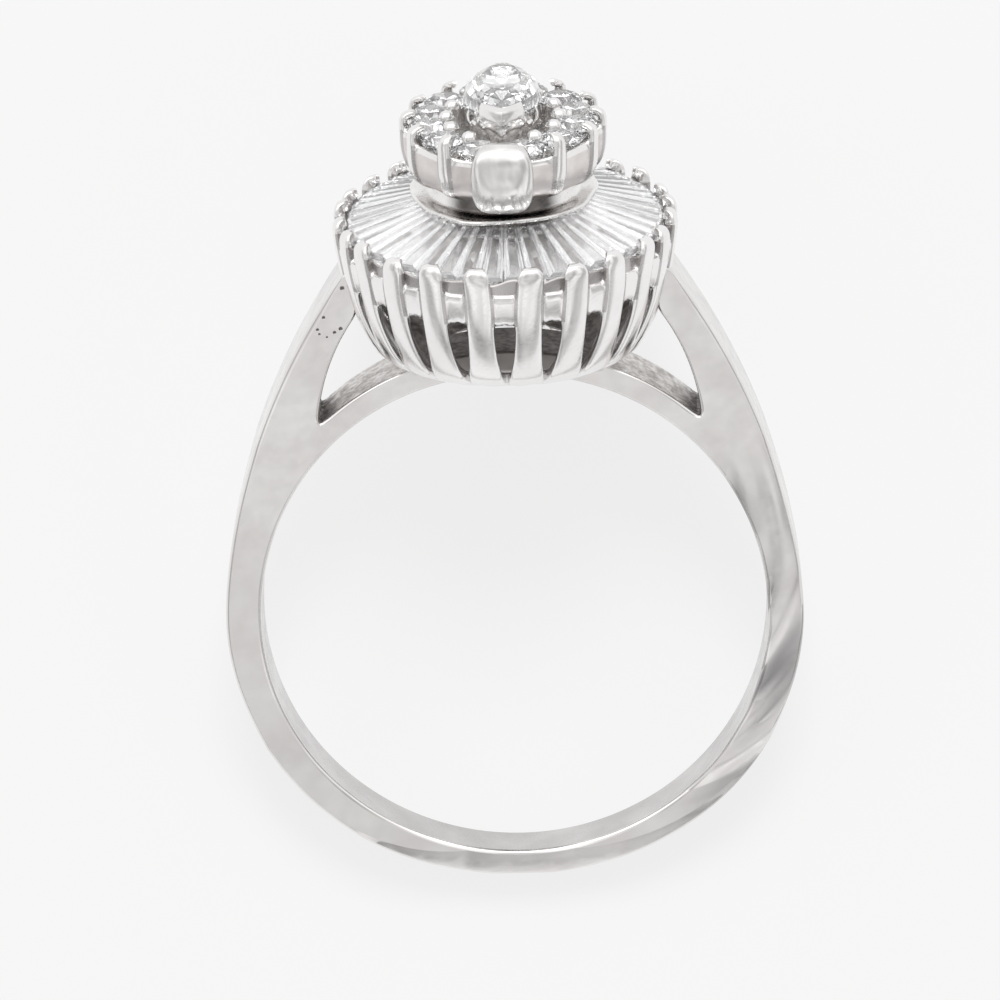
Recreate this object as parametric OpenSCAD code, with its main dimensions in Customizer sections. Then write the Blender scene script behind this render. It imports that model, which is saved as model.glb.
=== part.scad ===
// Two-tier cluster ring in white metal.
// A tapering shank rises in two open shoulders to a ribbed oval skirt set with tapered step-cut
// stones. Above it, on a flared collar, stands a smaller oval crown with twelve round stones
// and a pointed oval stone in the middle.
//
// The ring is drawn upright first: X across, Y along the finger, Z towards the stones, with
// the centre of the finger hole at the origin. It is then laid on its side, as it rests.
// Ovals are drawn by an angle that starts at the front (-Y) and turns towards +X.

/* [Shank] */
// Radius of the finger hole, 17.3 mm across
finger_r = 8.65; // [8:0.05:9.5]
// Thickness of the shank under the finger
base_thick = 1.0; // [0.8:0.1:1.5]
// Thickness of the shank at the sides
side_thick = 1.3; // [1.15:0.05:1.45]
// Width of the shank, along the finger, at its base
base_width = 1.8; // [1.4:0.1:2.4]
// Width of the shank, along the finger, at the shoulders
shoulder_width = 2.8; // [2.4:0.1:3.2]
// Thickness of the arch that passes under the head
arch_thick = 0.85; // [0.6:0.05:0.9]
// Height at which the shoulders meet the skirt
shoulder_top = 12.6; // [12.3:0.1:12.8]

/* [Skirt] */
// Number of ribs, each ending in a claw
rib_count = 24; // [20:2:28]
// Half-width of the skirt across the finger, over the claws
skirt_x = 5.85; // [5.75:0.05:6]
// Half-depth of the skirt along the finger, over the claws
skirt_y = 7.35; // [7.2:0.05:7.5]
// Share of a rib's spacing that the rib takes up
rib_share = 0.49; // [0.4:0.01:0.6]
// Depth of the groove between two ribs
rib_relief = 0.3; // [0.15:0.05:0.35]

/* [Tapered stones] */
// Tapered stones under each claw
stones_per_claw = 2; // [1:1:2]
// Height of their flat tops at the claws
stone_top_out = 14.08; // [14.02:0.02:14.1]
// Height of their flat tops at the collar
stone_top_in = 14.88; // [14.78:0.02:14.9]
// Depth of each stone from its flat top to its keel
stone_depth = 0.5; // [0.35:0.05:0.55]
// Clear space between two stones
stone_gap = 0.115; // [0.11:0.005:0.2]

/* [Crown] */
// Number of prongs round the crown, with one wide one at each end
prong_count = 12; // [12:4:12]
// Half-width of the crown across the finger, over the prongs
crown_x = 3.5; // [3.4:0.02:3.54]
// Half-depth of the crown along the finger, over the end prongs
crown_y = 4.55; // [4.5:0.01:4.6]
// Diameter of a round stone
round_dia = 1.46; // [1.2:0.02:1.46]
// Height of the round stones' girdles
round_girdle = 17.42; // [17.38:0.02:17.54]
// Width of the pointed oval stone
marquise_width = 2.6; // [2.2:0.1:2.6]
// Length of the pointed oval stone
marquise_length = 5.6; // [5.2:0.1:5.6]
// Height of the pointed oval stone's girdle
marquise_girdle = 18.22; // [18.12:0.05:18.32]

/* [Hidden] */

$fn = 96;

metal_colour = [0.86, 0.85, 0.84];
stone_colour = [0.93, 0.95, 0.97];

// Shank outline. The arch under the head stands a little clear of the finger hole's circle.
side_r = finger_r + side_thick;
base_z = finger_r + base_thick;
arch_rise = 0.25;
arch_under_r = finger_r - 0.05;
arch_r = arch_under_r + arch_thick;
lower_rise = 0.25;
lower_r = norm([side_r, lower_rise]);
shoulder_r = 24;
shoulder_drop = 1.5;
shoulder_x = side_r - sqrt(shoulder_r * shoulder_r - shoulder_drop * shoulder_drop);
shoulder_half_gap = 5.05;
gap_z = 11;
window_r = 7.5;
window_x = 1.0;
window_z = 6.7;
taper_z = 8;
cut = 20;
lap = 0.01;

// Skirt rows from the foot up to the claw tips: height, half-width, half-depth, then how far
// the inner face lies inside and above the outer one, and how far the row sags over the arch
ROW_Z = 0;
ROW_X = 1;
ROW_Y = 2;
ROW_IN = 3;
ROW_UP = 4;
ROW_SAG = 5;
skirt_rows = [
    [9.05, 2.7, 3.1, 0.7, 0.3, 0.3],
    [9.6, skirt_x - 1.75, skirt_y - 2.7, 0.45, 0.4, 0.12],
    [10.1, skirt_x - 1.1, skirt_y - 1.55, 0.6, 0.3, 0],
    [11.22, skirt_x - 0.57, skirt_y - 0.78, 0.7, 0.1, 0],
    [12.25, skirt_x - 0.27, skirt_y - 0.37, 0.72, 0, 0],
    [13.5, skirt_x - 0.05, skirt_y - 0.08, 0.7, 0, 0],
    [13.55, skirt_x - 0.04, skirt_y - 0.06, 0.4, 0, 0],
    [14.05, skirt_x, skirt_y, 0.44, 0.08, 0],
    [14.37, skirt_x - 0.2, skirt_y - 0.2, 0.5, -0.15, 0]
];
skirt_wall_row = 5;
window_rows = [1, 3];
window_arch = 0.2;

// Seat under the tapered stones: height of the top face, half-width, half-depth
seat_rows = [
    [13.33, skirt_x - 0.4, skirt_y - 0.45],
    [13.52, skirt_x - 1.0, skirt_y - 1.2],
    [13.98, 3.5, 4.4],
    [14.12, 2.4, 3.2]
];
seat_thick = 0.4;

// Tapered stones: half-axes of the ovals through their outer and inner ends
out_x = skirt_x - 0.5;
out_y = skirt_y - 0.5;
in_x = 2.8;
in_y = 3.55;
stone_count = rib_count * stones_per_claw;

// Collar and neck: height, half-width, half-depth, inset and rise of the inner face
collar_rows = [
    [13.78, 2.55, 3.4, 0.45, 0],
    [14.72, 2.45, 3.3, 0.45, 0],
    [15.12, 3.14, 3.8, 0.12, 0.14],
    [15.4, 2.6, 3.35, 0.5, 0],
    [15.75, 2.5, 3.3, 0.6, 0]
];

// Crown rows: height, half-width, half-depth, inset and rise of the inner face
crown_rows = [
    [15.5, crown_x - 0.95, crown_y - 1.25, 0.7, 0.3],
    [15.85, crown_x - 0.25, crown_y - 0.38, 0.85, 0.2],
    [16.5, crown_x - 0.05, crown_y - 0.08, 0.8, 0],
    [17.02, crown_x, crown_y, 0.55, 0],
    [17.04, crown_x, crown_y, 0.24, 0.02],
    [17.61, crown_x, crown_y, 0.24, 0],
    [17.88, crown_x - 0.15, crown_y - 0.15, 0.3, -0.08]
];
crown_wall_row = 3;
crown_relief = 0.32;
slim_half = 4.6;
wide_half = 18;
groove_push = 5;

// The wide prong at each end, row by row with the crown: height, half-width, half-depth
wide_rows = [
    [15.6, 0.55, crown_y - 0.75],
    [15.72, 0.9, crown_y - 0.12],
    [16.25, 1.04, crown_y + 0.05],
    [17.02, 1.04, crown_y + 0.03],
    [17.04, 1.04, crown_y + 0.03],
    [17.52, 1.02, crown_y],
    [17.76, 0.88, crown_y - 0.15]
];
wide_edge = 0.12;
ring_x = 2.5;
ring_y = 3.62;

// Floor of the crown, and the collet that carries the pointed stone
floor_z = 15.7;
floor_thick = 0.35;
collet_rows = [
    [15.85, 0.7, 2.0, 0.3, 0],
    [17.28, 1.1, 2.55, 0.3, 0],
    [17.82, 1.42, 3.02, 0.16, 0],
    [18.32, 1.44, 3.04, 0.1, 0],
    [18.61, 1.3, 2.8, 0.18, -0.12]
];
collet_wall_row = 1;
collet_cols = 24;

// A ring that lies on its side tips until its skirt and the base of its shank touch the floor
rest_tilt = max([
    for (row = skirt_rows)
        atan((row[ROW_Y] * cos(even(180 / rib_count, skirt_x, skirt_y)) - base_width / 2)
            / (row[ROW_Z] + base_z))
]);
rest_lift = base_z * sin(rest_tilt) + base_width / 2 * cos(rest_tilt);
table_z = marquise_girdle + 0.28 * marquise_width;
rest_high = table_z * cos(rest_tilt) + 0.28 * marquise_length * sin(rest_tilt);
rest_low = -base_z * cos(rest_tilt) - base_width / 2 * sin(rest_tilt);
rest_middle = (rest_high + rest_low) / 2;

// Spaces angles evenly along an oval whose half-axes are a and b
function even(u, a, b) = u + 31 * (b - a) / (b + a) * sin(2 * u);

// A point of an oval, by its angle from the front
function oval(t, a, b, z) = [a * sin(t), -b * cos(t), z];

// Half-width of a pointed oval at a place y along it
function pointed(y, w, l) = let (r = (w * w + l * l) / (2 * w)) sqrt(r * r - y * y) - (r - w);

// A point of a pointed oval, by its angle from the front
function pointed_oval(t, w, l, z) =
    let (y = l * cos(t))
    [sign(sin(t)) * pointed(y, w, l), -y, z];

// Two triangles for a face of four points
function two(a, b, c, d) = [[a, b, c], [a, c, d]];

// A closed shell over a grid of cells that wraps round. pts[row][column] holds the outer and
// the inner point, and solid[row][column] says whether the cell above and after it is filled.
module grid_shell(pts, solid) {
    rows = len(pts) - 1;
    cols = len(pts[0]);
    function filled(r, c) = r >= 0 && r < rows && solid[r][(c + cols) % cols];
    function id(r, c, side) = (r * cols + c % cols) * 2 + side;
    points = [for (row = pts) for (pair = row) each pair];
    faces = [
        for (r = [0:rows - 1])
            for (c = [0:cols - 1])
                if (filled(r, c))
                    each let (
                        a = id(r, c, 0),
                        b = id(r, c + 1, 0),
                        e = id(r + 1, c + 1, 0),
                        d = id(r + 1, c, 0)
                    ) concat(
                        two(a, d, e, b),
                        two(a + 1, b + 1, e + 1, d + 1),
                        filled(r, c - 1) ? [] : two(d, a, a + 1, d + 1),
                        filled(r, c + 1) ? [] : two(b, e, e + 1, b + 1),
                        filled(r - 1, c) ? [] : two(a, b, b + 1, a + 1),
                        filled(r + 1, c) ? [] : two(e, d, d + 1, e + 1)
                    )
    ];
    polyhedron(points = points, faces = faces, convexity = 8);
}

// Angle of a column of the skirt: rib edge, rib middle, rib edge, groove
function skirt_angle(c) =
    let (pitch = 360 / rib_count, half = rib_share * pitch / 2)
    even(pitch * (floor(c / 4) + 0.5) + [-half, 0, half, pitch / 2][c % 4], skirt_x, skirt_y);

// The ribbed bowl with its windows, rim and claws
module skirt() {
    cols = 4 * rib_count;
    relief = [0.12, 0, 0.12, rib_relief];
    top = len(skirt_rows) - 1;
    pts = [
        for (r = [0:top])
            [for (c = [0:cols - 1])
                let (
                    row = skirt_rows[r],
                    t = skirt_angle(c),
                    sink = r <= 1 ? relief[c % 4] / 2 : relief[c % 4],
                    arch = r == window_rows[1] + 1 && c % 4 == 3 ? window_arch : 0,
                    z = row[ROW_Z] - row[ROW_SAG] * pow(sin(t), 2) + arch
                )
                [
                    oval(t, row[ROW_X] - sink, row[ROW_Y] - sink, z),
                    oval(t, row[ROW_X] - row[ROW_IN], row[ROW_Y] - row[ROW_IN], z + row[ROW_UP])
                ]
            ]
    ];
    solid = [
        for (r = [0:top - 1])
            [for (c = [0:cols - 1])
                c % 4 < 2 || (r < skirt_wall_row && !(r >= window_rows[0] && r <= window_rows[1]))
            ]
    ];
    grid_shell(pts, solid);
}

// Two rings joined by a bar under each claw, which carry the tapered stones
module stone_seat() {
    cols = 2 * rib_count;
    pitch = 360 / rib_count;
    half = rib_share * pitch / 2;
    pts = [
        for (row = seat_rows)
            [for (c = [0:cols - 1])
                let (
                    u = pitch * (floor(c / 2) + 0.5) + (c % 2 == 0 ? -half : half),
                    t = even(u, skirt_x, skirt_y)
                )
                [
                    oval(t, row[ROW_X], row[ROW_Y], row[ROW_Z]),
                    oval(t, row[ROW_X], row[ROW_Y], row[ROW_Z] - seat_thick)
                ]
            ]
    ];
    solid = [
        for (r = [0:len(seat_rows) - 2])
            [for (c = [0:cols - 1]) r != 1 || c % 2 == 0]
    ];
    grid_shell(pts, solid);
}

// The neck inside the skirt, with the dished collar that laps over the tapered stones
module collar() {
    cols = 32;
    pts = [
        for (row = collar_rows)
            [for (c = [0:cols - 1])
                let (t = 360 * c / cols)
                [
                    oval(t, row[ROW_X], row[ROW_Y], row[ROW_Z]),
                    oval(t, row[ROW_X] - row[ROW_IN], row[ROW_Y] - row[ROW_IN], row[ROW_Z] + row[ROW_UP])
                ]
            ]
    ];
    grid_shell(pts, [for (r = [0:len(collar_rows) - 2]) [for (c = [0:cols - 1]) true]]);
}

// Angle of a column of the crown: prong edge, prong middle, prong edge, groove. The grooves
// beside a wide prong give way to it.
function crown_angle(c) =
    let (
        pitch = 360 / prong_count,
        half_count = prong_count / 2,
        k = floor(c / 4),
        half = k % half_count == 0 ? wide_half : slim_half,
        push = (k % half_count == 0 ? 1 : 0) - ((k + 1) % half_count == 0 ? 1 : 0),
        mid = even(pitch * k, ring_x, ring_y),
        groove = even(pitch * (k + 0.5), ring_x, ring_y) + push * groove_push
    )
    [mid - half, mid, mid + half, groove][c % 4];

// Whether a column of the crown belongs to one of its two wide, flat end prongs
function is_wide(c) = c % 4 < 3 && floor(c / 4) % (prong_count / 2) == 0;

// An outer and an inner point of the crown, by column and row. The end prongs run straight across.
function crown_points(c, r) =
    let (
        row = crown_rows[r],
        wide = wide_rows[r],
        t = crown_angle(c),
        sink = r == 0 ? 0 : [0.1, 0, 0.1, crown_relief][c % 4],
        inner_x = row[ROW_X] - row[ROW_IN],
        inner_y = row[ROW_Y] - row[ROW_IN],
        end = sign(cos(t)),
        side = (c % 4 - 1) * end,
        round_off = side == 0 ? 0 : wide_edge
    )
    is_wide(c) ? [
        [side * wide[ROW_X], (round_off - wide[ROW_Y]) * end, wide[ROW_Z]],
        [side * min(wide[ROW_X], inner_x * sin(wide_half)), -inner_y * end, row[ROW_Z] + row[ROW_UP]]
    ] : [
        oval(t, row[ROW_X] - sink, row[ROW_Y] - sink, row[ROW_Z]),
        oval(t, inner_x, inner_y, row[ROW_Z] + row[ROW_UP])
    ];

// The crown's wall and prongs
module crown_cup() {
    cols = 4 * prong_count;
    top = len(crown_rows) - 1;
    pts = [for (r = [0:top]) [for (c = [0:cols - 1]) crown_points(c, r)]];
    solid = [for (r = [0:top - 1]) [for (c = [0:cols - 1]) c % 4 < 2 || r < crown_wall_row]];
    grid_shell(pts, solid);
}

// The collet that carries the pointed stone, with a claw folded round each tip
module collet() {
    top = len(collet_rows) - 1;
    half = collet_cols / 2;
    pts = [
        for (row = collet_rows)
            [for (c = [0:collet_cols - 1])
                let (t = 360 * c / collet_cols)
                [
                    pointed_oval(t, row[ROW_X], row[ROW_Y], row[ROW_Z]),
                    pointed_oval(
                        t, row[ROW_X] - row[ROW_IN], row[ROW_Y] - row[ROW_IN], row[ROW_Z] + row[ROW_UP]
                    )
                ]
            ]
    ];
    solid = [
        for (r = [0:top - 1])
            [for (c = [0:collet_cols - 1])
                let (from_tip = min(c % half, half - 1 - c % half))
                r < collet_wall_row || from_tip < 2
            ]
    ];
    grid_shell(pts, solid);
}

// The floor of the crown, which joins its wall to the collar and the collet
module crown_floor() {
    cols = 32;
    pts = [
        for (share = [1, 0.2])
            [for (c = [0:cols - 1])
                let (t = 360 * c / cols, a = share * (crown_x - 0.9), b = share * (crown_y - 1.1))
                [oval(t, a, b, floor_z + floor_thick), oval(t, a, b, floor_z)]
            ]
    ];
    grid_shell(pts, [[for (c = [0:cols - 1]) true]]);
}

// Everything above the shank
module head() {
    skirt();
    stone_seat();
    collar();
    crown_cup();
    crown_floor();
    collet();
}

// A round bar along the finger, as long as any cut needs
module along_finger(r, x = 0, z = 0) {
    translate([x, 0, z]) rotate([90, 0, 0]) cylinder(r = r, h = cut, center = true, $fn = 180);
}

// Outline of the shank, seen along the finger
module shank_body() {
    intersection() {
        along_finger(lower_r, 0, lower_rise);
        translate([-cut, -cut / 2, -base_z]) cube([2 * cut, cut, base_z]);
    }
    intersection() {
        along_finger(shoulder_r, shoulder_x, -shoulder_drop);
        along_finger(shoulder_r, -shoulder_x, -shoulder_drop);
        translate([-cut, -cut / 2, -lap]) cube([2 * cut, cut, shoulder_top + lap]);
    }
}

// Width of the shank, which grows from the base to the shoulders
module shank_width() {
    rotate([90, 0, 90])
        linear_extrude(height = 2 * cut, center = true)
            polygon([
                [-base_width / 2, -base_z - 1],
                [base_width / 2, -base_z - 1],
                [base_width / 2, -base_z],
                [shoulder_width / 2, taper_z],
                [shoulder_width / 2, shoulder_top + 1],
                [-shoulder_width / 2, shoulder_top + 1],
                [-shoulder_width / 2, taper_z],
                [-base_width / 2, -base_z]
            ]);
}

// The two openings between shoulder, arch and skirt
module shoulder_windows() {
    difference() {
        union() {
            intersection() {
                along_finger(window_r, -window_x, window_z);
                along_finger(window_r, window_x, window_z);
            }
            translate([-shoulder_half_gap, -cut / 2, gap_z]) cube([2 * shoulder_half_gap, cut, cut]);
        }
        along_finger(arch_r, 0, arch_rise);
    }
}

// The shank with its shoulders and the arch under the head
module shank() {
    difference() {
        intersection() {
            shank_body();
            shank_width();
        }
        shoulder_windows();
        along_finger(finger_r);
        along_finger(arch_under_r, 0, arch_rise);
    }
}

// A brilliant-cut stone whose outline is a function of the angle, with its girdle at height 0
module cut_stone(w, l, is_pointed, crown_h, depth, girdle_h, table_share) {
    n = 16;
    function rim(t, share, z) = is_pointed ? pointed_oval(t, w * share, l * share, z)
        : oval(t, w * share, l * share, z);
    table = [for (k = [0:n / 2 - 1]) rim(k * 720 / n, table_share, crown_h)];
    upper = [for (k = [0:n - 1]) rim(k * 360 / n, 1, 0)];
    lower = [for (k = [0:n - 1]) rim(k * 360 / n, 1, -girdle_h)];
    u0 = n / 2;
    l0 = u0 + n;
    apex = l0 + n;
    faces = concat(
        [[for (k = [n / 2 - 1:-1:0]) k]],
        [for (k = [0:n / 2 - 1]) each [
            [k, u0 + 2 * k, u0 + (2 * k + n - 1) % n],
            [k, u0 + 2 * k + 1, u0 + 2 * k],
            [k, (k + 1) % (n / 2), u0 + 2 * k + 1]
        ]],
        [for (k = [0:n - 1])
            let (m = (k + 1) % n)
            each concat(two(u0 + k, u0 + m, l0 + m, l0 + k), [[l0 + k, l0 + m, apex]])
        ]
    );
    polyhedron(
        points = concat(table, upper, lower, [[0, 0, -depth]]),
        faces = faces,
        convexity = 2
    );
}

// A point of a tapered stone: s runs from its inner end to its outer end, w across it
function tapered_point(u, s, w, drop) =
    let (
        mean_out = (out_x + out_y) / 2,
        mean_in = (in_x + in_y) / 2,
        half_out = 180 / stone_count - stone_gap / 2 / mean_out * 180 / PI,
        half_in = 180 / stone_count - stone_gap / 2 / mean_in * 180 / PI,
        inner = oval(even(u + w * half_in, out_x, out_y), in_x, in_y, stone_top_in),
        outer = oval(even(u + w * half_out, out_x, out_y), out_x, out_y, stone_top_out)
    )
    inner + (outer - inner) * s - [0, 0, drop];

// One tapered step-cut stone: table, four bevels, girdle, and a pavilion down to a keel
module tapered_stone(u) {
    bevel_drop = 0.12;
    girdle_drop = 0.17;
    corners = [[0, -1], [1, -1], [1, 1], [0, 1]];
    table = [for (q = corners) tapered_point(u, 0.08 + 0.84 * q[0], 0.58 * q[1], 0)];
    upper = [for (q = corners) tapered_point(u, q[0], q[1], bevel_drop)];
    lower = [for (q = corners) tapered_point(u, q[0], q[1], girdle_drop)];
    keel = [for (s = [0.2, 0.8]) tapered_point(u, s, 0, stone_depth)];
    polyhedron(
        points = concat(table, upper, lower, keel),
        faces = concat(
            [[3, 2, 1], [3, 1, 0]],
            [for (ring = [0, 4]) for (k = [0:3])
                let (m = (k + 1) % 4)
                each two(ring + k, ring + m, ring + 4 + m, ring + 4 + k)
            ],
            two(8, 9, 13, 12),
            [[9, 10, 13]],
            two(10, 11, 12, 13),
            [[11, 8, 12]]
        ),
        convexity = 2
    );
}

// Lays the upright ring on its side, with its lowest points on the floor
module at_rest() {
    translate([0, -rest_middle, rest_lift]) rotate([rest_tilt - 90, 0, 0]) children();
}

module setting() {
    color(metal_colour) at_rest() {
        shank();
        head();
    }
}

module tapered_stones() {
    color(stone_colour) at_rest()
        for (k = [0:stone_count - 1]) tapered_stone(360 * (k + 0.5) / stone_count);
}

module marquise_stone() {
    w = marquise_width / 2;
    color(stone_colour) at_rest()
        translate([0, 0, marquise_girdle])
            cut_stone(w, marquise_length / 2, true, table_z - marquise_girdle, 1.1 * w, 0.08, 0.56);
}

module round_stone(k) {
    t = even(360 * (k - 0.5) / prong_count, ring_x, ring_y);
    r = round_dia / 2;
    color(stone_colour) at_rest()
        translate(oval(t, ring_x, ring_y, round_girdle))
            cut_stone(r, r, false, 0.36 * r, 0.85 * r, 0.05, 0.58);
}

setting();
tapered_stones();
marquise_stone();
for (k = [1:prong_count])
    round_stone(k);
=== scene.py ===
"""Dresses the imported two-tier cluster ring: polished white metal, cut stones and a plain studio.

Every piece is drawn upright in millimetres: X across the ring, Y along the finger and away from
the viewer, Z towards the stones, with the middle of the finger hole at the origin. It is then laid
on its side and scaled to metres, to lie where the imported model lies.
"""
import logging
from dataclasses import dataclass
from enum import Enum, IntEnum
from math import atan2, cos, degrees, exp, hypot, pi, radians, sin, sqrt, tan

import bmesh
import bpy
from mathutils import Matrix, Vector


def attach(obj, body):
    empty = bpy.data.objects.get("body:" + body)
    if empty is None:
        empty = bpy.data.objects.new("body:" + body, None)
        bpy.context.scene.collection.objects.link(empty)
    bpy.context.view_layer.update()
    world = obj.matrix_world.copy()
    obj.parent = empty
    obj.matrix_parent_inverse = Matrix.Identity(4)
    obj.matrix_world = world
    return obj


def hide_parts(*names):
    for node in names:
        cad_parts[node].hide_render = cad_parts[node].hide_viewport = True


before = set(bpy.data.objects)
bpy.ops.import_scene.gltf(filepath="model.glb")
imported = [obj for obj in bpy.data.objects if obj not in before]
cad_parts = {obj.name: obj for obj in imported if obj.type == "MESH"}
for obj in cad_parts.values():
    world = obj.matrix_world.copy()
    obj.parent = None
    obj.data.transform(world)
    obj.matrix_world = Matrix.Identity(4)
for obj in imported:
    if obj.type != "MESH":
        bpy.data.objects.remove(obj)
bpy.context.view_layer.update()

LOG = logging.getLogger("ring")
BODY = "root"
MM = 0.001
# Degrees that even() would shift an angle by on the thinnest oval
OVAL_SHIFT = 31

Colour = tuple[float, float, float]
Place = tuple[float, float, float]
Range = tuple[float, float]
Piece = bpy.types.Object
Material = bpy.types.Material
Socket = bpy.types.NodeSocket
Pairs = list[tuple[float, float]]
Triples = tuple[tuple[float, float, float], ...]
Numbers = list[list[int]]
Cells = set[tuple[int, int]]


class Slot(Enum):
    """The record's material slots."""

    METAL = "white_gold"
    STONE = "diamond"


class Node(Enum):
    """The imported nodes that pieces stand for."""

    SETTING = "setting"
    TAPERED = "tapered_stones"
    MARQUISE = "marquise_stone"
    ROUND = "round_stone_"


@dataclass(frozen=True)
class Lying:
    """How the upright ring is laid down: turned back, then moved onto the floor.

    Args:
        tilt: How far from flat the ring lies, in degrees.
        lift: Height of the finger hole's middle above the floor, in millimetres.
        middle: How far the finger hole's middle is from the box's middle, in millimetres.
    """

    tilt: float = 15.3335
    lift: float = 3.41977
    middle: float = 4.57183

    def turn(self) -> Matrix:
        """Returns the turn alone."""
        return Matrix.Rotation(radians(self.tilt - 90), 4, "X")

    def matrix(self) -> Matrix:
        """Returns the whole move, from upright millimetres to lying metres."""
        return Matrix.Scale(MM, 4) @ Matrix.Translation((0, -self.middle, self.lift)) @ self.turn()


LYING = Lying()


def even(u: float, a: float, b: float) -> float:
    """Spaces angles evenly along an oval.

    Args:
        u: Angle in degrees as if the oval were round.
        a: Half-width of the oval.
        b: Half-depth of the oval.

    Returns:
        The oval's own angle in degrees.
    """
    return u + OVAL_SHIFT * (b - a) / (b + a) * sin(2 * radians(u))


def clamp(value: float) -> float:
    """Returns a value held between 0 and 1."""
    return max(0.0, min(1.0, value))


def ripple(a: float, waves: Triples) -> float:
    """Returns the sum of sine waves at a place, each a height, a number of waves and a start."""
    return sum(height * sin(count * a + start) for height, count, start in waves)


def oval(t: float, a: float, b: float, z: float) -> Vector:
    """Returns a point of an oval by its angle from the front, in degrees."""
    return Vector((a * sin(radians(t)), -b * cos(radians(t)), z))


def pointed_oval(t: float, w: float, l: float, z: float) -> Vector:
    """Returns a point of a pointed oval by its angle from the front, in degrees."""
    y = l * cos(radians(t))
    r = (w * w + l * l) / (2 * w)
    side = 1 if sin(radians(t)) > 0 else -1
    return Vector((side * max(0.0, sqrt(r * r - y * y) - (r - w)), -y, z))


def blend_rows(rows: list[tuple[float, ...]], steps: int) -> list[tuple[float, ...]]:
    """Draws a smooth curve through rows of numbers.

    Args:
        rows: The rows to pass through.
        steps: Number of parts that each stretch is split into.

    Returns:
        The finer rows, first and last included.
    """
    fine = []
    last = len(rows) - 1
    for i in range(last):
        p0, p1, p2, p3 = (rows[max(0, min(last, i + k))] for k in (-1, 0, 1, 2))
        for j in range(steps):
            s = j / steps
            fine.append(tuple(
                0.5 * (2 * b + (c - a) * s + (2 * a - 5 * b + 4 * c - d) * s * s
                       + (3 * b - a - 3 * c + d) * s ** 3)
                for a, b, c, d in zip(p0, p1, p2, p3)
            ))
    fine.append(rows[last])
    return fine


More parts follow.
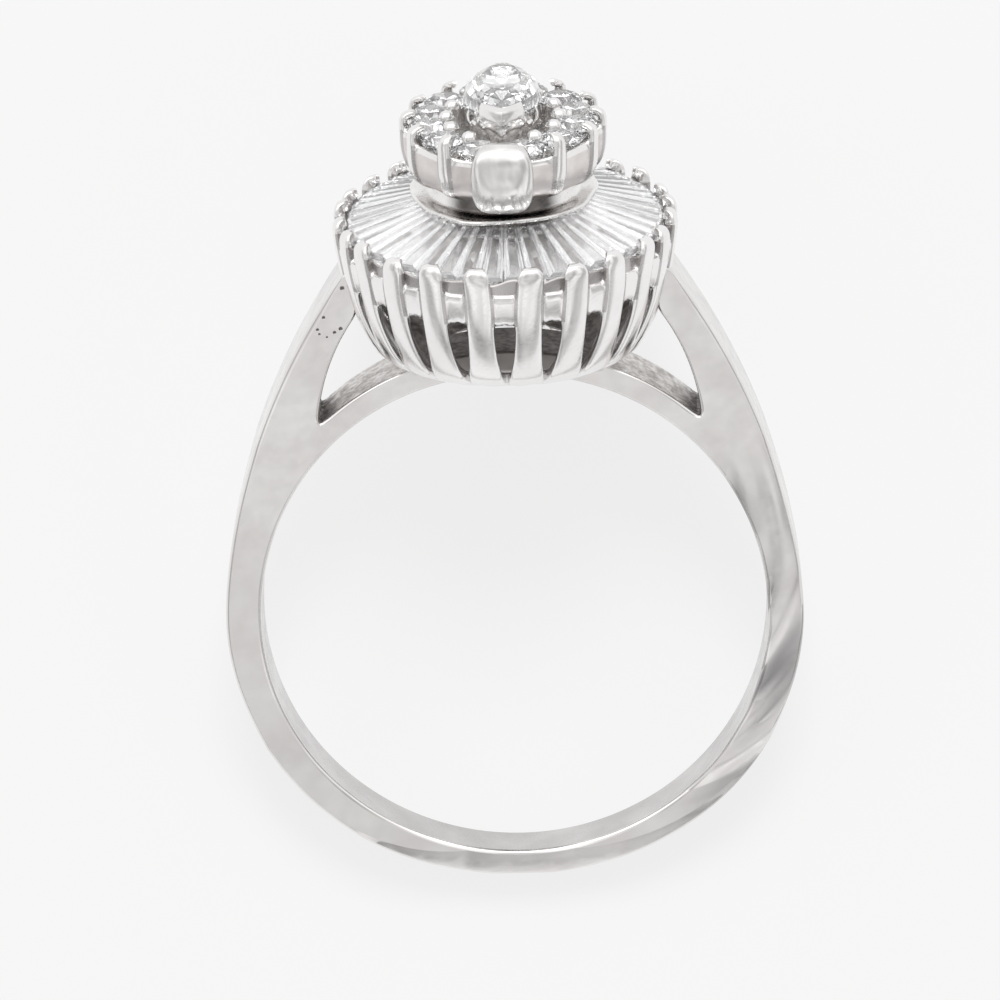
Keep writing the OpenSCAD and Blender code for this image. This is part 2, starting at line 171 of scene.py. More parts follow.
class Bench:
    """The hand work that every piece shares."""

    @staticmethod
    def clear() -> None:
        """Leaves edit mode and selects nothing."""
        if bpy.context.object and bpy.context.object.mode != "OBJECT":
            bpy.ops.object.mode_set(mode="OBJECT")
        bpy.ops.object.select_all(action="DESELECT")

    @staticmethod
    def only(piece: Piece) -> None:
        """Selects one piece and makes it active."""
        Bench.clear()
        piece.select_set(True)
        bpy.context.view_layer.objects.active = piece

    @staticmethod
    def raise_rows(name: str, rows: list[list[Vector]], cap: bool = False,
                   closed: bool = False) -> tuple[Piece, Numbers]:
        """Draws an outline as a ring of vertices, then extrudes it row by row.

        Args:
            name: Name of the piece.
            rows: Outlines with the same number of points, in the order to extrude them.
            cap: Whether the first and last outlines are filled.
            closed: Whether the last outline is joined to the first one.

        Returns:
            The piece, and the vertex numbers by row and column.
        """
        Bench.clear()
        bpy.ops.mesh.primitive_circle_add(vertices=len(rows[0]), radius=1)
        piece = bpy.context.object
        piece.name = name
        bpy.ops.object.mode_set(mode="EDIT")
        numbers = [list(range(len(rows[0])))]
        for r, row in enumerate(rows):
            if r:
                bpy.ops.mesh.extrude_region_move()
            mesh = bmesh.from_edit_mesh(piece.data)
            mesh.verts.index_update()
            mesh.verts.ensure_lookup_table()
            if r:
                before = set(numbers[-1])
                corners = [mesh.verts[i] for i in numbers[-1]]
                joined = [[edge.other_vert(corner) for edge in corner.link_edges] for corner in corners]
                numbers.append([
                    next(end.index for end in ends if end.select and end.index not in before)
                    for ends in joined
                ])
            for i, place in zip(numbers[-1], row):
                mesh.verts[i].co = place
            bmesh.update_edit_mesh(piece.data)
        if cap or closed:
            bpy.ops.mesh.select_all(action="DESELECT")
            bpy.ops.mesh.select_mode(type="EDGE")
            bpy.ops.mesh.select_non_manifold(extend=False)
            if closed:
                bpy.ops.mesh.bridge_edge_loops()
            else:
                bpy.ops.mesh.edge_face_add()
            bpy.ops.mesh.select_mode(type="VERT")
        bpy.ops.object.mode_set(mode="OBJECT")
        return piece, numbers

    @staticmethod
    def cells(numbers: Numbers, wanted: Cells) -> set[frozenset[int]]:
        """Returns the corners of cells that raise_rows made, each named by its lower first corner."""
        cols = len(numbers[0])
        return {
            frozenset(numbers[row][col % cols] for row in (r, r + 1) for col in (c, c + 1))
            for r, c in wanted
        }

    @staticmethod
    def finish_cells(piece: Piece, numbers: Numbers, cells: Cells, slot: int) -> None:
        """Gives cells that raise_rows made one of their piece's material slots."""
        corners = Bench.cells(numbers, cells)
        for face in piece.data.polygons:
            if frozenset(face.vertices) in corners:
                face.material_index = slot

    @staticmethod
    def cut_cells(piece: Piece, numbers: Numbers, gone: Cells) -> None:
        """Deletes cells of a piece that raise_rows made.

        Args:
            piece: The piece.
            numbers: Its vertex numbers by row and column.
            gone: Row and column of each cell, named by its lower first corner.
        """
        corners = Bench.cells(numbers, gone)
        Bench.only(piece)
        bpy.ops.object.mode_set(mode="EDIT")
        bpy.ops.mesh.select_mode(type="FACE")
        bpy.ops.mesh.select_all(action="DESELECT")
        mesh = bmesh.from_edit_mesh(piece.data)
        mesh.verts.index_update()
        for face in mesh.faces:
            if frozenset(corner.index for corner in face.verts) in corners:
                face.select = True
        bmesh.update_edit_mesh(piece.data)
        bpy.ops.mesh.delete(type="FACE")
        bpy.ops.mesh.select_mode(type="VERT")
        bpy.ops.object.mode_set(mode="OBJECT")

    @staticmethod
    def face_out(piece: Piece) -> None:
        """Turns all faces the same way, outwards from the piece's middle."""
        Bench.only(piece)
        bpy.ops.object.mode_set(mode="EDIT")
        bpy.ops.mesh.select_all(action="SELECT")
        bpy.ops.mesh.normals_make_consistent(inside=False)
        bpy.ops.object.mode_set(mode="OBJECT")
        middle = sum((v.co for v in piece.data.vertices), Vector()) / len(piece.data.vertices)
        lean = sum(f.area * f.normal.dot(f.center - middle) for f in piece.data.polygons)
        if lean < 0:
            bpy.ops.object.mode_set(mode="EDIT")
            bpy.ops.mesh.flip_normals()
            bpy.ops.object.mode_set(mode="OBJECT")

    @staticmethod
    def thicken(piece: Piece, thickness: float, inner: int = 0) -> None:
        """Gives a sheet its wall, towards the inside.

        Args:
            piece: The sheet, with its faces outwards.
            thickness: Thickness of the wall in millimetres.
            inner: How many material slots further on the inner side's finish is.
        """
        wall = piece.modifiers.new("wall", "SOLIDIFY")
        wall.thickness = thickness
        wall.offset = -1
        wall.material_offset = inner
        Bench.apply(piece, wall)

    @staticmethod
    def soften(piece: Piece) -> None:
        """Rounds a piece with a subdivision surface."""
        smooth = piece.modifiers.new("smooth", "SUBSURF")
        smooth.levels = smooth.render_levels = 1
        Bench.apply(piece, smooth)

    @staticmethod
    def apply(piece: Piece, modifier: bpy.types.Modifier) -> None:
        """Applies one modifier of a piece."""
        Bench.only(piece)
        bpy.ops.object.modifier_apply(modifier=modifier.name)

    @staticmethod
    def join(name: str, pieces: list[Piece]) -> Piece:
        """Joins pieces into one.

        Args:
            name: Name of the joined piece.
            pieces: The pieces, the first of which takes in the others.

        Returns:
            The joined piece.
        """
        Bench.clear()
        for piece in pieces:
            piece.select_set(True)
        bpy.context.view_layer.objects.active = pieces[0]
        if len(pieces) > 1:
            bpy.ops.object.join()
        pieces[0].name = name
        pieces[0].data.name = name
        return pieces[0]

    @staticmethod
    def copy(piece: Piece, name: str, move: Matrix) -> Piece:
        """Copies a piece with a mesh of its own, and moves the mesh.

        Args:
            piece: The piece to copy.
            name: Name of the copy.
            move: Where the copy goes.

        Returns:
            The copy.
        """
        twin = piece.copy()
        twin.data = piece.data.copy()
        twin.name = name
        twin.data.name = name
        bpy.context.scene.collection.objects.link(twin)
        twin.data.transform(move)
        if move.determinant() < 0:
            twin.data.flip_normals()
        return twin

    @staticmethod
    def shade(piece: Piece, angle: float) -> None:
        """Shades a piece smooth across edges that turn less than an angle in degrees."""
        Bench.only(piece)
        bpy.ops.object.shade_smooth_by_angle(angle=radians(angle))

    @staticmethod
    def dress(piece: Piece, *finishes: Material) -> None:
        """Gives a piece its finishes, in the order of its material slots."""
        for finish in finishes:
            piece.data.materials.append(finish)

    @staticmethod
    def finish(piece: Piece, angle: float, wall: float = 0.0, inner: int = 0, soft: bool = True) -> Piece:
        """Gives a piece of the setting its wall and roundness, shades it and lays it down.

        Args:
            piece: The piece, with its faces outwards.
            angle: Edges that turn less than this many degrees are shaded smooth.
            wall: Thickness of its wall in millimetres, where it is still a sheet.
            inner: How many material slots further on the inner side's finish is.
            soft: Whether it is rounded.

        Returns:
            The piece.
        """
        if wall:
            Bench.thicken(piece, wall, inner)
        if soft:
            Bench.soften(piece)
        Bench.shade(piece, angle)
        return Bench.lay_down(piece, Node.SETTING.value, Slot.METAL)

    @staticmethod
    def lay_down(piece: Piece, node: str, slot: Slot) -> Piece:
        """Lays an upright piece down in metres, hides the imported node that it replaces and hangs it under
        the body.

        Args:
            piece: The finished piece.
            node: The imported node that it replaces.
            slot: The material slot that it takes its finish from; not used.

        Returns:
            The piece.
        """
        Bench.only(piece)
        piece.matrix_world = LYING.matrix()
        bpy.ops.object.transform_apply(location=True, rotation=True, scale=True)
        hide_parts(node)
        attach(piece, BODY)
        LOG.info("%s: %d faces", piece.name, len(piece.data.polygons))
        return piece


class Waves(IntEnum):
    """How many waves of a pattern there are in a metre."""

    SWAY = 190
    BANDS = 420
    PATCHES = 600
    DENTS = 700
    CLOUDS = 900
    STROKES = 1500
    BLOTCHES = 1800
    SCRATCHES = 2600
    GRAIN = 5200
    # Blotches of the painted shade near the shoulders
    SOOT = 7000


class Ease(Enum):
    """How a range is stretched to another."""

    SOFT = "SMOOTHSTEP"
    STRAIGHT = "LINEAR"


class Tone(Enum):
    """Colours of pits and unpolished metal, and of shade and dark reflections painted on the metal."""

    PIT = (0.16, 0.145, 0.14)
    # Painted shade under the wide prongs, on the collar's dish
    TARNISH = (0.16, 0.15, 0.145)
    # Painted shade near the shoulders, and its lighter blotches
    SOOT = (0.17, 0.155, 0.15)
    ASH = (0.62, 0.6, 0.59)
    # Painted dark reflections along the file strokes
    FILED = (0.27, 0.265, 0.27)
    UNPOLISHED = (0.3, 0.28, 0.27)


class Tree:
    """A small builder of shader node trees."""

    def __init__(self, tree: bpy.types.NodeTree, coordinates: str) -> None:
        """Starts on a tree, with one of Blender's sets of coordinates as the place."""
        self.tree = tree
        self.place = self.add("TexCoord").outputs[coordinates]

    def add(self, kind: str, **values: object) -> bpy.types.Node:
        """Adds a node and sets its properties.

        Args:
            kind: Node type, without its ShaderNode prefix.
            values: Properties of the node.

        Returns:
            The node.
        """
        node = self.tree.nodes.new("ShaderNode" + kind)
        for key, value in values.items():
            setattr(node, key, value)
        return node

    def feed(self, value: object, target: Socket) -> None:
        """Links a socket to another, or sets it to a value."""
        if isinstance(value, bpy.types.NodeSocket):
            self.tree.links.new(value, target)
        else:
            target.default_value = value

    def parts(self, place: Socket) -> tuple[Socket, ...]:
        """Returns the three parts of a place."""
        node = self.add("SeparateXYZ")
        self.feed(place, node.inputs[0])
        return tuple(node.outputs)

    def noise(self, scale: float, detail: float, at: Socket | None = None) -> Socket:
        """Returns a noise pattern of so many waves a metre, or a unit of its own place."""
        node = self.add("TexNoise")
        node.inputs["Scale"].default_value = scale
        node.inputs["Detail"].default_value = detail
        self.feed(at or self.place, node.inputs["Vector"])
        return node.outputs["Fac"]

    def ramp(self, source: Socket, *stops: tuple[float, Colour]) -> Socket:
        """Returns a colour that goes through stops, each a value of source and its colour."""
        node = self.add("ValToRGB")
        elements = node.color_ramp.elements
        elements[0].position, elements[1].position = stops[0][0], stops[-1][0]
        for at, _ in stops[1:-1]:
            elements.new(at)
        for element, (_, colour) in zip(elements, stops):
            element.color = (*colour, 1)
        self.feed(source, node.inputs["Fac"])
        return node.outputs["Color"]

    def mix(self, share: Socket, first: Socket | Colour, second: Socket | Colour) -> Socket:
        """Returns a colour that goes from first to second with share."""
        node = self.add("MixRGB")
        self.feed(share, node.inputs["Fac"])
        for key, value in (("Color1", first), ("Color2", second)):
            self.feed((*value, 1) if isinstance(value, tuple) else value, node.inputs[key])
        return node.outputs["Color"]

    def scale_to(self, source: Socket, low: float, high: float, to_low: float, to_high: float,
                 ease: Ease = Ease.SOFT) -> Socket:
        """Returns source with its range low to high stretched to another range."""
        node = self.add("MapRange", interpolation_type=ease.value)
        for key, value in (("From Min", low), ("From Max", high), ("To Min", to_low), ("To Max", to_high)):
            node.inputs[key].default_value = value
        self.feed(source, node.inputs["Value"])
        return node.outputs["Result"]

    def math(self, operation: str, a: Socket, b: Socket | float = 0.0) -> Socket:
        """Returns one sum of two values."""
        node = self.add("Math", operation=operation)
        self.feed(a, node.inputs[0])
        self.feed(b, node.inputs[1])
        return node.outputs[0]

    def vector(self, operation: str, a: Socket, b: Socket | Place = (0.0, 0.0, 0.0)) -> Socket:
        """Returns one sum of two places, or the length or distance that it gives."""
        node = self.add("VectorMath", operation=operation)
        self.feed(a, node.inputs[0])
        self.feed(b, node.inputs[1])
        return node.outputs["Value" if operation in ("LENGTH", "DISTANCE") else "Vector"]


class Nodes(Tree):
    """The node tree of one material."""

    def __init__(self, name: str) -> None:
        """Starts a material with one Principled shader and the object's own coordinates."""
        self.material = bpy.data.materials.new(name)
        self.material.use_nodes = True
        super().__init__(self.material.node_tree, "Object")
        self.shader = self.tree.nodes["Principled BSDF"]

    def upright(self) -> Socket:
        """Returns the place on the upright ring, in millimetres."""
        node = self.add("Mapping", vector_type="TEXTURE")
        self.feed(self.place, node.inputs["Vector"])
        node.inputs["Location"].default_value = LYING.matrix().translation
        node.inputs["Rotation"].default_value = LYING.turn().to_euler()
        node.inputs["Scale"].default_value = (MM, MM, MM)
        return node.outputs["Vector"]

    def stretch(self, scale: Place, turn: Place) -> Socket:
        """Returns the object's coordinates in axes turned in degrees, and then scaled."""
        node = self.add("Mapping", vector_type="TEXTURE")
        self.feed(self.place, node.inputs["Vector"])
        node.inputs["Rotation"].default_value = [radians(a) for a in turn]
        node.inputs["Scale"].default_value = [1 / a for a in scale]
        return node.outputs["Vector"]

    def bump(self, height: Socket, depth: float, strength: float, under: Socket | None = None) -> Socket:
        """Returns a normal bent by a height pattern, depth in metres."""
        node = self.add("Bump")
        node.inputs["Strength"].default_value = strength
        node.inputs["Distance"].default_value = depth
        self.feed(height, node.inputs["Height"])
        if under:
            self.feed(under, node.inputs["Normal"])
        return node.outputs["Normal"]

    def finish(self, sockets: dict[str, object]) -> Material:
        """Feeds the shader's sockets, each by its name, and returns the material."""
        for name, value in sockets.items():
            self.feed(value, self.shader.inputs[name])
        return self.material


@dataclass(frozen=True)
class FileMarks:
    """Long file strokes across the band's lower right, placed on the upright ring: a bump, with dark
    reflections painted along them.

    Args:
        right: Distances to the right between which they set in, in millimetres.
        up: Heights between which they end, in millimetres.
        slant: How far outwards a stroke runs with each radian round the hole, in millimetres.
        along: Units of the pattern in a radian round the hole.
        waves: Waves of the pattern in a unit.
        dark: Values of the pattern between which a painted dark reflection ends.
        shares: Share of the painted dark reflection inside a stroke and beside it.
        fade: Distances from the hole's middle between which the painted reflections get lighter, in
            millimetres.
        outer: Share of their painted darkness that is left at the outer edge.
    """

    right: Range = (5.0, 8.0)
    up: Range = (3.0, 7.5)
    slant: float = 3.2
    along: float = 1.6
    waves: float = 0.62
    dark: Range = (0.42, 0.55)
    shares: Range = (0.85, 0.1)
    fade: Range = (9.0, 10.4)
    outer: float = 0.35

    def add_to(self, n: Nodes, colour: Socket, height: Socket, depth: float) -> tuple[Socket, Socket]:
        """Returns colour with dark reflections painted along the strokes, and height with the strokes, depth
        in metres.
        """
        x, _, z = n.parts(n.upright())
        where = n.math("MULTIPLY", n.scale_to(x, *self.right, 0.0, 1.0), n.scale_to(z, *self.up, 1.0, 0.0))
        turn = n.math("ARCTAN2", z, x)
        radius = n.math("SQRT", n.math("ADD", n.math("MULTIPLY", x, x), n.math("MULTIPLY", z, z)))
        strokes = n.add("CombineXYZ")
        n.feed(n.math("SUBTRACT", radius, n.math("MULTIPLY", turn, self.slant)), strokes.inputs["X"])
        n.feed(n.math("MULTIPLY", turn, self.along), strokes.inputs["Y"])
        waves = n.noise(self.waves, 1, strokes.outputs["Vector"])
        planes = n.math("ABSOLUTE", n.math("SUBTRACT", waves, 0.5))
        # Painted dark reflections along the strokes
        painted_reflection = n.math("MULTIPLY", n.scale_to(waves, *self.dark, *self.shares), where)
        painted_reflection = n.math("MULTIPLY", painted_reflection, n.scale_to(radius, *self.fade, 1.0, self.outer))
        return (n.mix(painted_reflection, colour, Tone.FILED.value),
                n.bump(n.math("MULTIPLY", planes, where), depth, 1.0, height))


@dataclass(frozen=True)
class PolishedMetal:
    """Polished white metal with faint wheel marks and fine scratches; where asked, also painted shade under
    the wide prongs and dark reflections painted along file strokes.

    Args:
        name: Name of the material.
        tone: Brightest colour.
        dull: Colour of its duller patches.
        rough: Least roughness.
        haze: How much rougher the duller patches are.
        relief: Depth of the hammer-soft unevenness, in metres.
        streak: How much longer than wide the wheel marks are.
        sway: Depth of the slow waves that hand filing leaves on a broad face, in metres.
        pits: Places of casting pits on the upright ring, each with its radius, in millimetres.
        pit_depth: Depth of the pits, in metres.
        scratch: Depth of the fine scratches, in metres.
        pit_rim: Between which shares of its radius a pit's rim rises.
        bowl: Half-width and lowest height of the unpolished part inside the bowl, in millimetres.
        filed: How many times deeper the waves are at the lower right, where the band was filed by hand; it
            also paints dark reflections along the strokes there.
        recess: Half-sizes across and along of an oval on the upright ring, and the half-width of the strip
            inside it where shade under the wide prongs is painted, in millimetres.
    """

    name: str = "polished_white_gold"
    tone: Colour = (0.93, 0.92, 0.91)
    dull: Colour = (0.85, 0.835, 0.825)
    rough: float = 0.06
    haze: float = 0.12
    relief: float = 2.0e-6
    streak: float = 9.0
    sway: float = 0.0
    pits: tuple[tuple[float, float, float, float], ...] = ()
    pit_depth: float = 40e-6
    pit_rim: Range = (0.6, 1.2)
    scratch: float = 0.4e-6
    bowl: Range | None = None
    filed: float = 0.0
    recess: tuple[float, float, float] | None = None

    def make(self) -> Material:
        """Returns the material."""
        n = Nodes(self.name)
        colour = n.ramp(n.noise(Waves.PATCHES, 4), (0.35, self.dull), (0.7, self.tone))
        marks = n.noise(Waves.STROKES, 5, n.stretch((1, self.streak, self.streak), (0, 20, 35)))
        rough = n.scale_to(marks, 0.35, 0.7, self.rough, self.rough + self.haze)
        height = n.bump(n.noise(Waves.DENTS, 2), self.relief, 0.35)
        if self.sway:
            height = n.bump(n.noise(Waves.SWAY, 1), self.sway, 1.0, height)
        # Deeper file strokes at the lower right, with dark reflections painted along them
        if self.filed:
            colour, height = FileMarks().add_to(n, colour, height, self.sway * self.filed)
        # Painted shade under the wide prongs
        if self.recess:
            colour = self.tarnish(n, colour)
        longer = self.streak + 3
        scratches = n.noise(Waves.SCRATCHES, 6, n.stretch((1, longer, longer), (0, 55, -20)))
        height = n.bump(scratches, self.scratch, 0.25, height)
        if self.pits:
            colour, height = self.casting_pits(n, colour, height)
        if self.bowl:
            colour, rough = self.unpolished(n, colour, rough)
        return n.finish({"Base Color": colour, "Metallic": 1.0, "Roughness": rough, "Normal": height})

    def tarnish(self, n: Nodes, colour: Socket) -> Socket:
        """Returns colour with shade painted in the middle of the oval, under the wide prongs."""
        across, along, strip = self.recess
        place = n.vector("MULTIPLY", n.upright(), (1 / across, 1 / along, 0))
        side = n.math("ABSOLUTE", n.parts(place)[0])
        share = strip / across
        # Painted shade: inside the oval and across its middle
        dark = n.math("MULTIPLY", n.scale_to(n.vector("LENGTH", place), 0.92, 0.97, 1.0, 0.0),
                      n.scale_to(side, share - 0.12, share + 0.08, 1.0, 0.0))
        return n.mix(dark, colour, Tone.TARNISH.value)

    def casting_pits(self, n: Nodes, colour: Socket, height: Socket) -> tuple[Socket, Socket]:
        """Returns colour and height with the casting pits."""
        upright = n.upright()
        inner, outer = self.pit_rim
        for x, y, z, radius in self.pits:
            away = n.vector("DISTANCE", upright, (x, y, z))
            rim = n.scale_to(away, inner * radius, outer * radius, 0.0, 1.0)
            colour = n.mix(rim, Tone.PIT.value, colour)
            height = n.bump(rim, self.pit_depth, 1.0, height)
        return colour, height

    def unpolished(self, n: Nodes, colour: Socket, rough: Socket) -> tuple[Socket, Socket]:
        """Returns colour and roughness with the unpolished part inside the bowl."""
        half, low = self.bowl
        x, _, z = n.parts(n.upright())
        inside = n.math("MULTIPLY", n.scale_to(n.math("ABSOLUTE", x), half, half + 0.3, 1.0, 0.0),
                        n.scale_to(z, low - 0.1, low + 0.1, 0.0, 1.0))
        return (n.mix(inside, colour, Tone.UNPOLISHED.value),
                n.math("ADD", rough, n.math("MULTIPLY", inside, 0.35)))


@dataclass(frozen=True)
class MattMetal:
    """White metal as it comes from the cast: grey, grainy and unpolished.

    Args:
        name: Name of the material.
        tone: Colour of its bright grains.
        dark: Colour of its dark grains.
        rough: Mean roughness.
        grain: Depth of the grain, in metres.
        sooty: Distances from the ring's middle between which shade is painted towards the shoulders, in
            millimetres.
    """

    name: str = "matt_white_gold"
    tone: Colour = (0.88, 0.86, 0.845)
    dark: Colour = (0.56, 0.535, 0.52)
    rough: float = 0.5
    grain: float = 12e-6
    sooty: Range | None = None

    def make(self) -> Material:
        """Returns the material."""
        n = Nodes(self.name)
        grain = n.noise(Waves.GRAIN, 6)
        colour = n.ramp(grain, (0.35, self.dark), (0.62, self.tone))
        # Painted shade in blotches where the arch meets the shoulders
        if self.sooty:
            side = n.math("ABSOLUTE", n.parts(n.upright())[0])
            shoulder_shade = n.ramp(n.noise(Waves.SOOT, 3), (0.4, Tone.SOOT.value), (0.6, Tone.ASH.value))
            colour = n.mix(n.scale_to(side, *self.sooty, 0.0, 1.0), colour, shoulder_shade)
        rough = n.scale_to(n.noise(Waves.BLOTCHES, 3), 0.3, 0.7, self.rough - 0.12, self.rough + 0.15)
        return n.finish({"Base Color": colour, "Metallic": 1.0, "Roughness": rough,
                         "Normal": n.bump(grain, self.grain, 0.8)})


@dataclass(frozen=True)
class BrushedMetal:
    """White metal with file strokes across it.

    Args:
        name: Name of the material.
        tone: Brightest colour.
        dull: Colour of its duller bands.
        rough: Middle roughness.
        plane: Depth of the flats between the bands, in metres.
        stroke: Depth of the strokes, in metres.
    """

    name: str = "brushed_white_gold"
    tone: Colour = (0.92, 0.91, 0.9)
    dull: Colour = (0.74, 0.735, 0.725)
    rough: float = 0.2
    plane: float = 60e-6
    stroke: float = 2e-6

    def make(self) -> Material:
        """Returns the material."""
        n = Nodes(self.name)
        bands = n.noise(Waves.BANDS, 2, n.stretch((3, 1, 3), (0, 0, 12)))
        strokes = n.noise(Waves.STROKES, 4, n.stretch((1, 10, 10), (0, 0, 3)))
        return n.finish({
            "Base Color": n.ramp(bands, (0.38, self.dull), (0.62, self.tone)),
            "Metallic": 1.0,
            "Roughness": n.scale_to(bands, 0.35, 0.65, self.rough + 0.1, self.rough - 0.06),
            "Normal": n.bump(strokes, self.stroke, 0.5, n.bump(bands, self.plane, 0.9)),
        })


@dataclass(frozen=True)
class ClearStone:
    """A clear cut stone with a high bend of light.

    Args:
        name: Name of the material.
        tone: Its faint colour.
        index: How much it bends light.
        rough: Roughness of its faces.
        clear: Share of light that goes through.
        life: Strength of the faint glow that stands for light from many inner reflections.
    """

    name: str = "clear_stone"
    tone: Colour = (0.985, 0.99, 1.0)
    index: float = 2.4
    rough: float = 0.0
    clear: float = 1.0
    life: float = 0.0

    def make(self) -> Material:
        """Returns the material."""
        n = Nodes(self.name)
        cloudy = tuple(0.985 * c for c in self.tone)
        return n.finish({
            "Base Color": n.ramp(n.noise(Waves.CLOUDS, 2), (0.3, cloudy), (0.7, self.tone)),
            "Roughness": self.rough,
            "IOR": self.index,
            "Transmission Weight": self.clear,
            "Emission Color": (1, 1, 1, 1),
            "Emission Strength": self.life,
        })


class Finishes:
    """The finishes that the pieces share, made once."""

    def __init__(self) -> None:
        """Makes each finish."""
        self.polished = PolishedMetal(rough=0.1, haze=0.14).make()
        # The arch, with shade painted where it meets the shoulders
        self.matt = MattMetal(sooty=(5.7, 6.5)).make()
        self.inside = MattMetal(name="dull_inside", tone=(0.5, 0.47, 0.455), dark=(0.26, 0.24, 0.235)).make()
        self.brushed = BrushedMetal().make()
        self.satin = PolishedMetal(
            name="satin_white_gold", rough=0.2, haze=0.2, relief=4.0e-6, tone=(0.87, 0.86, 0.85),
            dull=(0.74, 0.725, 0.715)).make()
        self.soft = PolishedMetal(
            name="soft_white_gold", rough=0.15, haze=0.12, relief=1.5e-6, tone=(0.94, 0.93, 0.925),
            dull=(0.87, 0.855, 0.85)).make()
        # A darker copy of the polished metal: painted shade for crevices, on rib and prong sides and on the
        # bearing
        self.crevice = PolishedMetal(
            name="crevice_shade_white_gold", rough=0.25, relief=1e-6, tone=(0.64, 0.62, 0.615),
            dull=(0.46, 0.445, 0.44)).make()
        # Satin roughness, with a darker tone that is painted shade between the prongs
        self.cup_wall = PolishedMetal(
            name="shaded_cup_wall_white_gold", rough=0.32, haze=0.15, relief=6e-6, tone=(0.88, 0.845, 0.83),
            dull=(0.68, 0.64, 0.63)).make()
        # The collar's dish, with shade painted under the wide prongs
        self.dish = PolishedMetal(
            name="collar_white_gold", rough=0.14, haze=0.2, relief=4.0e-6, dull=(0.82, 0.81, 0.8),
            recess=(3.17, 3.84, 1.75)).make()
        self.stone = ClearStone(clear=0.98).make()
        # The tapered stones glow faintly: painted light for their inner reflections
        self.tapered = ClearStone(name="clear_tapered_stone", clear=0.98, life=0.018).make()
        self.ground = ClearStone(name="ground_stone_edge", rough=0.55, index=1.6, clear=0.6).make()


class ShankSlot(IntEnum):
    """The shank's own material slots."""

    SIDES = 0
    ARCH = 1
    UNDER_HEAD = 2
    HOLE = 3
    OUTER = 4


